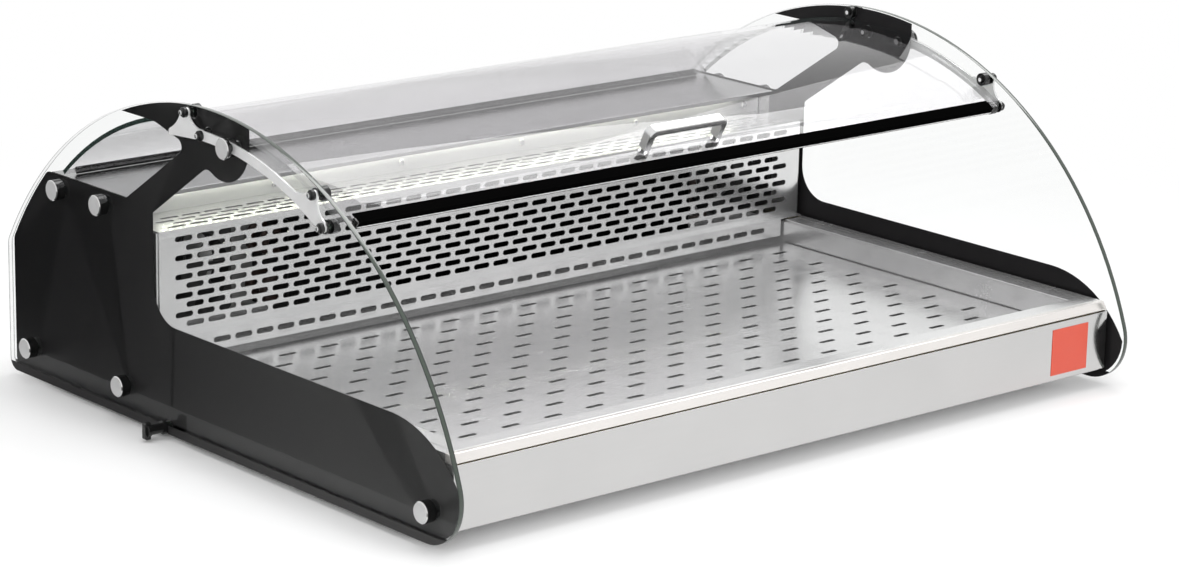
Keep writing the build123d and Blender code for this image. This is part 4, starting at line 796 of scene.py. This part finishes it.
OWN_FINISHES: dict[str, Finish] = {
    "standoff_caps": CapFinish(),
    "housing_top": BrushedSteel("Housing_sheet", tone=0.34),
    "back_wall": BrushedSteel("Lit_wall", tone=0.78, roughness=0.34, metallic=0.35),
    "partition": Moulded("Black_faced_board", grey(0.008), grey(0.014), roughness=0.6),
    "fixing_nuts": Moulded("Black_nut", grey(0.006), grey(0.01), roughness=0.3),
}


# Pieces

JOIN_DISTANCE = 0.002 * MM
FLAT_ANGLE = math.radians(0.5)
CREASE_ANGLE = math.radians(32.0)
SOFT_BEND = (math.radians(0.3), math.radians(20.0))
NARROW_SHARE = 0.45
ROUND_FACES = 2
ROUND_PROFILE = 0.5
CROSS_ARM = 0.28
LEAST_SINE = 0.01
DOME = ((1.0, 0.0), (1.0, 0.42), (0.93, 0.72), (0.8, 0.9), (0.62, 1.0))
Spot = tuple[Vector, Vector, float]


def body_of(node: str) -> str:
    """Body that a construction node belongs to."""
    bodies = frame["record"]["behaviour"]["bodies"]
    return next(body for body, nodes in bodies.items() if node in nodes)


def slot_of(node: str) -> str:
    """Material slot of a construction node."""
    return next(row["material_slot"] for row in frame["record"]["subparts"] if row["node"] == node)


def add_piece(name: str, mesh: bpy.types.Mesh, node: str, stands_for: Sequence[str] = ()) -> None:
    """Put a finished mesh into the model.

    Args:
        name: Name of the piece.
        mesh: Its mesh, in place, with its materials.
        node: Construction node whose body it takes.
        stands_for: Nodes that it is shown in place of.
    """
    mesh.name = name
    piece = bpy.data.objects.new(name, mesh)
    bpy.context.scene.collection.objects.link(piece)
    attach(piece, body_of(node))
    slot_of(node)
    if stands_for:
        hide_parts(*stands_for)
    LOG.info("%s: %d faces on %s", name, len(mesh.polygons), body_of(node))


def merged(node: str) -> bmesh.types.BMesh:
    """Copy of a node's mesh with its loose triangles joined.

    Args:
        node: Construction node to copy.

    Returns:
        The joined shape.
    """
    shape = bmesh.new()
    shape.from_mesh(frame["nodes"][node].data)
    bmesh.ops.remove_doubles(shape, verts=shape.verts, dist=JOIN_DISTANCE)
    return shape


def softened(node: str, width: float, sharp: float = 40.0) -> bmesh.types.BMesh:
    """Copy of a node with its sharp edges rounded.

    Args:
        node: Construction node to copy.
        width: Width of the rounding, in metres.
        sharp: Angle in degrees from which an edge is rounded.

    Returns:
        The rounded shape.
    """
    shape = merged(node)
    bmesh.ops.dissolve_limit(shape, angle_limit=FLAT_ANGLE, verts=shape.verts, edges=shape.edges)
    edges = [edge for edge in shape.edges if edge.calc_face_angle(0.0) > math.radians(sharp)]
    bmesh.ops.bevel(shape, geom=edges, offset=width, offset_type="OFFSET", segments=ROUND_FACES,
                    profile=ROUND_PROFILE, affect="EDGES", clamp_overlap=True)
    shape.normal_update()
    slim = NARROW_SHARE * width
    narrow = {face for face in shape.faces if face.calc_area() < slim * face.calc_perimeter()}
    for face in shape.faces:
        seams = [edge for edge in face.edges if narrow.isdisjoint(edge.link_faces)]
        bends = [edge.calc_face_angle(0.0) for edge in seams]
        face.smooth = face in narrow or any(SOFT_BEND[0] < bend < SOFT_BEND[1] for bend in bends)
    return shape


def finished(shape: bmesh.types.BMesh, materials: Sequence[bpy.types.Material]) -> bpy.types.Mesh:
    """Mesh of a shape with its materials.

    Args:
        shape: Shape to use up.
        materials: Finishes, in the order of its faces' indices.

    Returns:
        The mesh.
    """
    mesh = bpy.data.meshes.new("piece")
    shape.to_mesh(mesh)
    shape.free()
    smooth = [face.use_smooth for face in mesh.polygons]
    mesh.set_sharp_from_angle(angle=CREASE_ANGLE)
    mesh.polygons.foreach_set("use_smooth", smooth)
    for material in materials:
        mesh.materials.append(material)
    return mesh


def islands(node: str) -> list[tuple[Vector, Vector]]:
    """Find the separate solids of a node.

    Args:
        node: Construction node that groups them.

    Returns:
        Lowest and highest corner of each solid, in order of the lowest.
    """
    shape = merged(node)
    boxes = []
    left = set(shape.verts)
    while left:
        front = [left.pop()]
        group = list(front)
        while front:
            here = front.pop()
            near = [edge.other_vert(here) for edge in here.link_edges]
            fresh = [vert for vert in near if vert in left]
            left.difference_update(fresh)
            front += fresh
            group += fresh
        low = Vector(min(vert.co[axis] for vert in group) for axis in range(3))
        high = Vector(max(vert.co[axis] for vert in group) for axis in range(3))
        boxes.append((low, high))
    shape.free()
    return sorted(boxes, key=lambda box: tuple(box[0]))


def spots_mesh(spots: Sequence[Spot]) -> bpy.types.Mesh:
    """Mesh of points that carry the direction and the reach of what stands on them.

    Args:
        spots: Place, direction and reach of each.

    Returns:
        The mesh.
    """
    mesh = bpy.data.meshes.new("spots")
    mesh.from_pydata([place for place, aim, reach in spots], [], [])
    aims = mesh.attributes.new("aim", "FLOAT_VECTOR", "POINT")
    aims.data.foreach_set("vector", [value for place, aim, reach in spots for value in aim])
    reaches = mesh.attributes.new("reach", "FLOAT", "POINT")
    reaches.data.foreach_set("value", [reach for place, aim, reach in spots])
    return mesh


class Recess(Enum):
    """Shape of the drive in a screw's head."""

    PLAIN = "plain"
    HEX = "hex"
    CROSS = "cross"

    def reach(self, size: float, angle: float) -> float:
        """Distance from the middle of the drive to its wall at an angle.

        Args:
            size: Distance to the nearest point of the wall.
            angle: Direction in radians.

        Returns:
            The distance.
        """
        if self is Recess.HEX:
            return size / math.cos((angle + math.pi / 6) % (math.pi / 3) - math.pi / 6)
        if self is Recess.CROSS:
            slant = abs((angle + math.pi / 4) % (math.pi / 2) - math.pi / 4)
            return min(size / math.cos(slant), CROSS_ARM * size / max(math.sin(slant), LEAST_SINE))
        return size


@dataclass(frozen=True)
class Head:
    """Head of a screw, bolt or lamp: a dome on a short rim, with a drive."""

    radius: float
    height: float
    recess: Recess = Recess.PLAIN
    sides: int = 32
    drive: float = 0.5
    drive_floor: float = 0.45

    def rings(self) -> list[list[Vector]]:
        """Outline the head from the seat, over the dome and down into the drive.

        Returns:
            The points of each ring.
        """
        angles = [math.tau * index / self.sides for index in range(self.sides)]
        wall = [self.recess.reach(self.drive * self.radius, angle) for angle in angles]
        outlines = [([share * self.radius] * self.sides, rise) for share, rise in DOME]
        outlines.append((wall, 1.0))
        if self.recess is not Recess.PLAIN:
            outlines.append((wall, self.drive_floor))
        return [
            [Vector((r * math.cos(a), r * math.sin(a), rise * self.height)) for r, a in zip(radii, angles)]
            for radii, rise in outlines
        ]

    def template(self) -> bpy.types.Object:
        """Object that the scatter copies.

        Returns:
            The object, made along +Z.
        """
        shape = bmesh.new()
        rows = [[shape.verts.new(spot) for spot in ring] for ring in self.rings()]
        for below, above in zip(rows, rows[1:]):
            for index in range(self.sides):
                after = (index + 1) % self.sides
                shape.faces.new((below[index], below[after], above[after], above[index]))
        shape.faces.new(rows[-1])
        shape.faces.new(rows[0][::-1])
        for face in shape.faces:
            face.smooth = len(face.verts) == 4
        return as_template(finished(shape, []))


def as_template(mesh: bpy.types.Mesh) -> bpy.types.Object:
    """Object that holds a template's mesh and isn't in the picture."""
    return bpy.data.objects.new("template", mesh)


# Studio

def level_plane(name: str, x: Sequence[float], y: Sequence[float], z: float) -> bpy.types.Object:
    """Add a level rectangle to the studio.

    Args:
        name: Name of the object.
        x: Its left and right edge.
        y: Its front and rear edge.
        z: Its height.

    Returns:
        The new object, without a material.
    """
    corners = [(x[0], y[0], z), (x[1], y[0], z), (x[1], y[1], z), (x[0], y[1], z)]
    mesh = bpy.data.meshes.new(name)
    mesh.from_pydata(corners, [], [(0, 1, 2, 3)])
    plane = bpy.data.objects.new(name, mesh)
    bpy.context.scene.collection.objects.link(plane)
    return plane


@dataclass(frozen=True)
class Card:
    """A level reflector or flag of the studio that only reflections show."""

    name: str
    x: tuple[float, float]
    y: tuple[float, float]
    z: float
    stops: Sequence[tuple[float, Colour]]
    along: str
    low: float
    high: float
    strength: float = 1.0

    def build(self) -> None:
        """Add the card; its brightness follows one axis."""
        card = level_plane(self.name, self.x, self.y, self.z)
        paint = Paint(self.name)
        links = {"Value": paint.axis(self.along, "Place"), "From Min": self.low, "From Max": self.high}
        place = paint.value("ShaderNodeMapRange", {}, links, "Result")
        colour = paint.value("ShaderNodeValToRGB", {"stops": self.stops}, {0: place}, "Color")
        light = paint.add("ShaderNodeEmission", {}, {"Color": colour, "Strength": self.strength})
        card.data.materials.append(paint.done(light))
        card.visible_camera = False
        card.visible_diffuse = False
        card.visible_shadow = False
        card.visible_transmission = False


@dataclass(frozen=True)
class Studio:
    """Camera, floor, lamps and surroundings of the picture."""

    position: Vector = Vector((-2.1266, -2.4794, 0.9748))
    aim: Vector = Vector((0.6325, 0.7296, -0.2600))
    roll: float = math.radians(1.185)
    lens: float = 111.06
    sensor: float = 36.0
    floor_size: float = 14.0
    ambient: float = 0.5
    floor_near: float = 0.35
    floor_fade: tuple[float, float] = (0.6, 1.15)
    footprint: tuple[float, float, float] = (0.49, 0.4, 0.335)
    under_fade: tuple[float, float] = (-0.09, 0.0)
    floor_white: float = 0.95
    view_depth: float = 50.0
    lit_point: tuple[float, float, float] = (0.0, 0.0, 0.12)

    def camera(self) -> None:
        """Place the camera at the photograph's viewing angle."""
        data = bpy.data.cameras.new("Camera")
        data.lens = self.lens
        data.sensor_width = self.sensor
        data.clip_end = self.view_depth
        camera = bpy.data.objects.new("Camera", data)
        bpy.context.scene.collection.objects.link(camera)
        ahead = self.aim.normalized()
        right = ahead.cross(Vector((0, 0, 1))).normalized()
        above = right.cross(ahead)
        turned = right * math.cos(self.roll) + above * math.sin(self.roll)
        upright = above * math.cos(self.roll) - right * math.sin(self.roll)
        basis = Matrix((turned, upright, -ahead)).transposed()
        camera.matrix_world = Matrix.Translation(self.position) @ basis.to_4x4()
        bpy.context.scene.camera = camera

    def lamp(self, name: str, place: Sequence[float], size: Sequence[float], energy: float) -> None:
        """Add a soft rectangular lamp that points at the case.

        Args:
            name: Name of the lamp.
            place: Where it hangs.
            size: Its width and height.
            energy: Its power in watts.
        """
        data = bpy.data.lights.new(name, "AREA")
        data.shape = "RECTANGLE"
        data.size, data.size_y = size
        data.energy = energy
        lamp = bpy.data.objects.new(name, data)
        bpy.context.scene.collection.objects.link(lamp)
        lamp.location = place
        aim = Vector(self.lit_point) - lamp.location
        lamp.rotation_euler = aim.to_track_quat("-Z", "Y").to_euler()
        lamp.visible_glossy = False

    @staticmethod
    def seen(canvas: Canvas) -> Value:
        """1 for what the camera, reflections and glass show, 0 for light on the object.

        Args:
            canvas: Node tree that asks.

        Returns:
            The value in that tree.
        """
        path = canvas.add("ShaderNodeLightPath", {}, {})
        rays = ("Is Camera Ray", "Is Glossy Ray", "Is Transmission Ray")
        camera, glossy, through = (Value(canvas, path.outputs[name]) for name in rays)
        return canvas.math("MINIMUM", camera + glossy + through, 1.0)

    def world(self) -> None:
        """White background for the camera and reflections, a plain level of light for the rest."""
        world = bpy.data.worlds.new("Studio")
        bpy.context.scene.world = world
        world.use_nodes = True
        canvas = Canvas(world.node_tree)
        strength = self.ambient + self.seen(canvas) * (1.0 - self.ambient)
        sky = canvas.add("ShaderNodeBackground", {}, {"Color": grey(1.0), "Strength": strength})
        canvas.add("ShaderNodeOutputWorld", {}, {"Surface": sky.outputs[0]})

    def floor(self) -> None:
        """Pale floor that keeps the case's shadow."""
        half = self.floor_size / 2
        floor = level_plane("Floor", (-half, half), (-half, half), 0.0)
        paint = Paint("Pale_floor")
        matt = paint.add("ShaderNodeBsdfDiffuse", {}, {"Color": grey(self.floor_white)})
        white = paint.add("ShaderNodeEmission", {}, {"Color": grey(1.0), "Strength": 1.0})
        across, along = paint.axis("X", "Place"), paint.axis("Y", "Place")
        away = ((across * across + along * along) ** 0.5).ramp(*self.floor_fade)
        left, right, depth = self.footprint
        beside = paint.math("MAXIMUM", 0.0 - across - left, across - right)
        before = abs(along) - depth
        clear = paint.math("MAXIMUM", beside, before).ramp(*self.under_fade)
        share = (self.floor_near + away * (1.0 - self.floor_near)) * clear
        links = {0: self.seen(paint) * share, 1: matt.outputs[0], 2: white.outputs[0]}
        floor.data.materials.append(paint.done(paint.add("ShaderNodeMixShader", {}, links)))

    @staticmethod
    def cards() -> list[Card]:
        """Flag and reflector: dark on the floor beside the case, bright over it.

        Returns:
            Both cards.
        """
        flag = Card(
            "Left_flag", x=(-2.4, -0.45), y=(-0.75, 1.6), z=0.004,
            stops=[(0.0, grey(0.5)), (0.45, grey(0.12)), (0.75, grey(0.02)), (1.0, grey(0.01))],
            along="Y", low=-0.75, high=1.0)
        reflector = Card(
            "Top_reflector", x=(0.5, 3.2), y=(-0.3, 1.15), z=2.5,
            stops=[(0.0, grey(1.0)), (1.0, grey(1.0))],
            along="X", low=0.0, high=1.0, strength=5.0)
        return [flag, reflector]

    def build(self) -> None:
        """Set the whole studio up."""
        bpy.context.scene.view_settings.view_transform = "Standard"
        self.camera()
        self.floor()
        self.world()
        for card in self.cards():
            card.build()
        self.lamp("Top_lamp", place=(0.2, -0.1, 2.4), size=(2.6, 2.0), energy=50.0)
        self.lamp("Front_lamp", place=(-2.6, -1.9, 1.3), size=(1.6, 1.2), energy=40.0)


# Sub-assemblies

@dataclass
class SideGlasses:
    """The two upright panes, with ground edges."""

    materials: dict[str, bpy.types.Material]
    outer: float = 400 * MM
    thickness: float = 5 * MM
    arris: float = 0.5 * MM
    sharp: float = 60.0
    flat_face: float = 0.95
    core: Colour = (0.035, 0.05, 0.037, 1.0)
    rear_alpha: float = 0.08

    def build(self) -> None:
        """Make both panes: clear faces, and edges that look dark from the side."""
        half = self.thickness / 2
        finish = GlassEdge(
            "Side_glass_edge", self.outer - half, half, core=self.core, rear_alpha=self.rear_alpha)
        edge = finish.paint()
        for side in ("left", "right"):
            node = f"{side}_side_glass"
            shape = softened(node, self.arris, sharp=self.sharp)
            for face in shape.faces:
                face.material_index = 0 if abs(face.normal.x) > self.flat_face else 1
            mesh = finished(shape, [self.materials["clear_glass"], edge])
            add_piece(f"{side}_pane", mesh, node, [node])


@dataclass
class Canopy:
    """The curved pane that slides round, with its edges."""

    materials: dict[str, bpy.types.Material]
    outer: float = 392 * MM
    arris: float = 0.5 * MM
    sharp: float = 60.0
    end_face: float = 0.3
    core_half: float = 4 * MM
    deep: Colour = (0.004, 0.006, 0.005, 1.0)
    core: Colour = (0.02, 0.035, 0.03, 1.0)
    front_alpha: float = 0.15

    def build(self) -> None:
        """Make the pane: clear faces and dark green ends."""
        finish = GlassEdge(
            "Canopy_edge", self.outer, self.core_half, self.deep, self.core, front_alpha=self.front_alpha)
        edge = finish.paint()
        shape = softened("canopy_glass", self.arris, sharp=self.sharp)
        for face in shape.faces:
            face.material_index = 1 if abs(face.normal.x) > self.end_face else 0
        mesh = finished(shape, [self.materials["canopy_clear"], edge])
        add_piece("canopy_pane", mesh, "canopy_glass", ["canopy_glass"])


@dataclass
class SheetWork:
    """Folded sheets and bars whose edges are rounded."""

    materials: dict[str, bpy.types.Material]
    widths: dict[str, float] = field(default_factory=lambda: {
        "front_fascia": 0.5 * MM,
        "front_lip": 0.4 * MM,
        "deck_rim": 0.4 * MM,
        "canopy_arms": 0.4 * MM,
        "front_bar": 0.7 * MM,
        "bar_end_caps": 0.4 * MM,
    })

    def build(self) -> None:
        """Make each sheet with rounded edges."""
        finish = BrushedSteel(
            "Brushed_fascia", tone=0.57, warmth=0.008, roughness=0.13, contrast=0.6)
        fascia = finish.paint()
        for node, width in self.widths.items():
            shape = softened(node, width)
            material = fascia if node == "front_fascia" else self.materials[slot_of(node)]
            mesh = finished(shape, [material])
            add_piece(f"{node}_rounded", mesh, node, [node])


@dataclass
class Fasteners:
    """Bolts of the arms, and the screws of the back wall and the rear panel."""

    materials: dict[str, bpy.types.Material]
    bolt_head: float = 2 * MM
    bolt_head_radius: float = 3 * MM
    bolt_radius: float = 2 * MM
    wall_front: float = 163.655 * MM
    rear_face: float = 327.855 * MM
    screw_radius: float = 2 * MM

    def bolts(self) -> None:
        """Socket-head bolts, whose heads face outwards on both sides."""
        spots = []
        for low, high in islands("arm_bolts"):
            side = math.copysign(1.0, low.x + high.x)
            seat = max(abs(low.x), abs(high.x)) - self.bolt_head
            middle = (low + high) / 2
            reach = seat - min(abs(low.x), abs(high.x))
            spots.append((Vector((side * seat, middle.y, middle.z)), Vector((side, 0, 0)), reach))
        head = Head(self.bolt_head_radius, self.bolt_head, Recess.HEX).template()
        steel = CapFinish("Socket_bolt", tone=0.85, edge=0.86).paint()
        tree = Scatter("Arm_bolts", head, steel, self.bolt_radius)
        add_piece("socket_bolts", tree.bake(spots_mesh(spots)), "arm_bolts", ["arm_bolts"])

    def screws(self) -> None:
        """Cross-recessed screws that hold the wall and the rear panel."""
        wall, rear = [], []
        for low, high in islands("panel_screws"):
            middle = (low + high) / 2
            if middle.y < (self.wall_front + self.rear_face) / 2:
                row, seat, aim, reach = wall, self.wall_front, -1.0, high.y - self.wall_front
                head = Head((high.x - low.x) / 2, self.wall_front - low.y, Recess.CROSS)
            else:
                row, seat, aim, reach = rear, self.rear_face, 1.0, self.rear_face - low.y
                head = Head((high.x - low.x) / 2, high.y - self.rear_face, Recess.CROSS)
            row.append((Vector((middle.x, seat, middle.z)), Vector((0, aim, 0)), reach, head))
        for name, rows, nodes in (("wall_screws", wall, ["panel_screws"]), ("rear_screws", rear, [])):
            spots = [row[:3] for row in rows]
            tree = Scatter(name, rows[0][3].template(), self.materials["bolt_steel"], self.screw_radius)
            add_piece(name, tree.bake(spots_mesh(spots)), "panel_screws", nodes)

    def build(self) -> None:
        """Make all fasteners that show."""
        self.bolts()
        self.screws()


@dataclass
class Lamps:
    """Row of small lamps under the opal strip, close to the wall."""

    lamp: Head = Head(1.5 * MM, 1.1 * MM, sides=12)
    setback: float = 1.6 * MM
    lean: tuple[float, float, float] = (0.0, 0.55, -0.83)
    strength: float = 13.0

    def build(self) -> None:
        """Make the row of lamps along the strip's rear edge."""
        low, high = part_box("light_diffuser")
        aim = Vector(self.lean).normalized()
        count = int((high.x - low.x - 2 * LAMP_PITCH) / LAMP_PITCH)
        first = -(count - 1) / 2 * LAMP_PITCH
        place_y = high.y - self.setback
        places = [Vector((first + index * LAMP_PITCH, place_y, low.z)) for index in range(count)]
        spots = [(place, aim, 0.0) for place in places]
        glow = Glow("Lamp_glow", self.strength, LAMP_PITCH / 2).paint()
        tree = Scatter("Strip_lamps", self.lamp.template(), glow, 0.0)
        add_piece("strip_lamps", tree.bake(spots_mesh(spots)), "light_diffuser")


@dataclass
class Coils:
    """Fins of the cold and the warm coil, at their real close pitch."""

    materials: dict[str, bpy.types.Material]
    pitch: float = 3.1 * MM
    thickness: float = 0.25 * MM
    ripple: float = 0.45 * MM
    waves: int = 8
    end_plate: float = 1.4 * MM
    end_margin: float = 6 * MM

    def plate(self, y_range: Sequence[float], z_range: Sequence[float], thickness: float,
              ripple: float) -> bmesh.types.BMesh:
        """One rippled fin at X 0.

        Args:
            y_range: Front and rear of the fin.
            z_range: Bottom and top of the fin.
            thickness: Its thickness.
            ripple: How far its ripples stand out to each side.

        Returns:
            The fin.
        """
        shape = bmesh.new()
        rows = []
        low, high = z_range
        for index in range(self.waves + 1):
            y = y_range[0] + (y_range[1] - y_range[0]) * index / self.waves
            x = ripple * (1 if index % 2 else -1)
            left, right = x - thickness / 2, x + thickness / 2
            section = [(left, low), (right, low), (right, high), (left, high)]
            rows.append([shape.verts.new((across, y, z)) for across, z in section])
        for near, far in zip(rows, rows[1:]):
            for index in range(4):
                after = (index + 1) % 4
                shape.faces.new((near[index], near[after], far[after], far[index]))
        shape.faces.new(rows[0][::-1])
        shape.faces.new(rows[-1])
        bmesh.ops.recalc_face_normals(shape, faces=shape.faces)
        return shape

    def stack(self, node: str, fin_y: Sequence[float], fin_z: Sequence[float]) -> None:
        """Make one coil's fins and its two end plates.

        Args:
            node: Construction node that they stand for.
            fin_y: Front and rear of the fins.
            fin_z: Bottom and top of the fins.
        """
        low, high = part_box(node)
        fin = self.plate(fin_y, fin_z, self.thickness, self.ripple)
        count = int((high.x - low.x - 2 * self.pitch) / self.pitch)
        first = (low.x + high.x) / 2 - (count - 1) / 2 * self.pitch
        material = self.materials["aluminium_fins"]
        template = as_template(finished(fin, []))
        tree = Stack(f"{node}_stack", template, count, first, self.pitch, material)
        shape = bmesh.new()
        shape.from_mesh(tree.bake(bpy.data.meshes.new("seed")))
        for x in (low.x + self.end_plate / 2, high.x - self.end_plate / 2):
            end = self.plate((low.y, high.y), (low.z, high.z), self.end_plate, 0.0)
            bmesh.ops.translate(end, vec=(x, 0, 0), verts=end.verts)
            mesh = bpy.data.meshes.new("end")
            end.to_mesh(mesh)
            end.free()
            shape.from_mesh(mesh)
        add_piece(f"{node}_close", finished(shape, [material]), node, [node])

    def build(self) -> None:
        """Make both coils' fins."""
        low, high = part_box("evaporator_fins")
        self.stack("evaporator_fins", (low.y, high.y - self.end_margin), (low.z, high.z))
        low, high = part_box("condenser_fins")
        self.stack("condenser_fins", (low.y, high.y), (low.z + self.end_margin, high.z))


# Assembly

def dress_nodes(materials: dict[str, bpy.types.Material]) -> None:
    """Give every construction node the finish of its slot in the record, and a few nodes their own.

    Args:
        materials: Material of each slot.
    """
    for row in frame["record"]["subparts"]:
        node = frame["nodes"][row["node"]]
        node.data.materials.clear()
        node.data.materials.append(materials[row["material_slot"]])
    for name, finish in OWN_FINISHES.items():
        frame["nodes"][name].data.materials[0] = finish.paint()


def main() -> None:
    """Build the case and its studio."""
    logging.basicConfig(level=logging.INFO, format="%(name)s: %(message)s")
    materials = {slot: finish.paint() for slot, finish in FINISHES.items()}
    dress_nodes(materials)
    LOG.info("dressed %d nodes", len(frame["nodes"]))
    SideGlasses(materials).build()
    Canopy(materials).build()
    SheetWork(materials).build()
    Fasteners(materials).build()
    Lamps().build()
    Coils(materials).build()
    Studio().build()


if __name__ == "__main__":
    main()
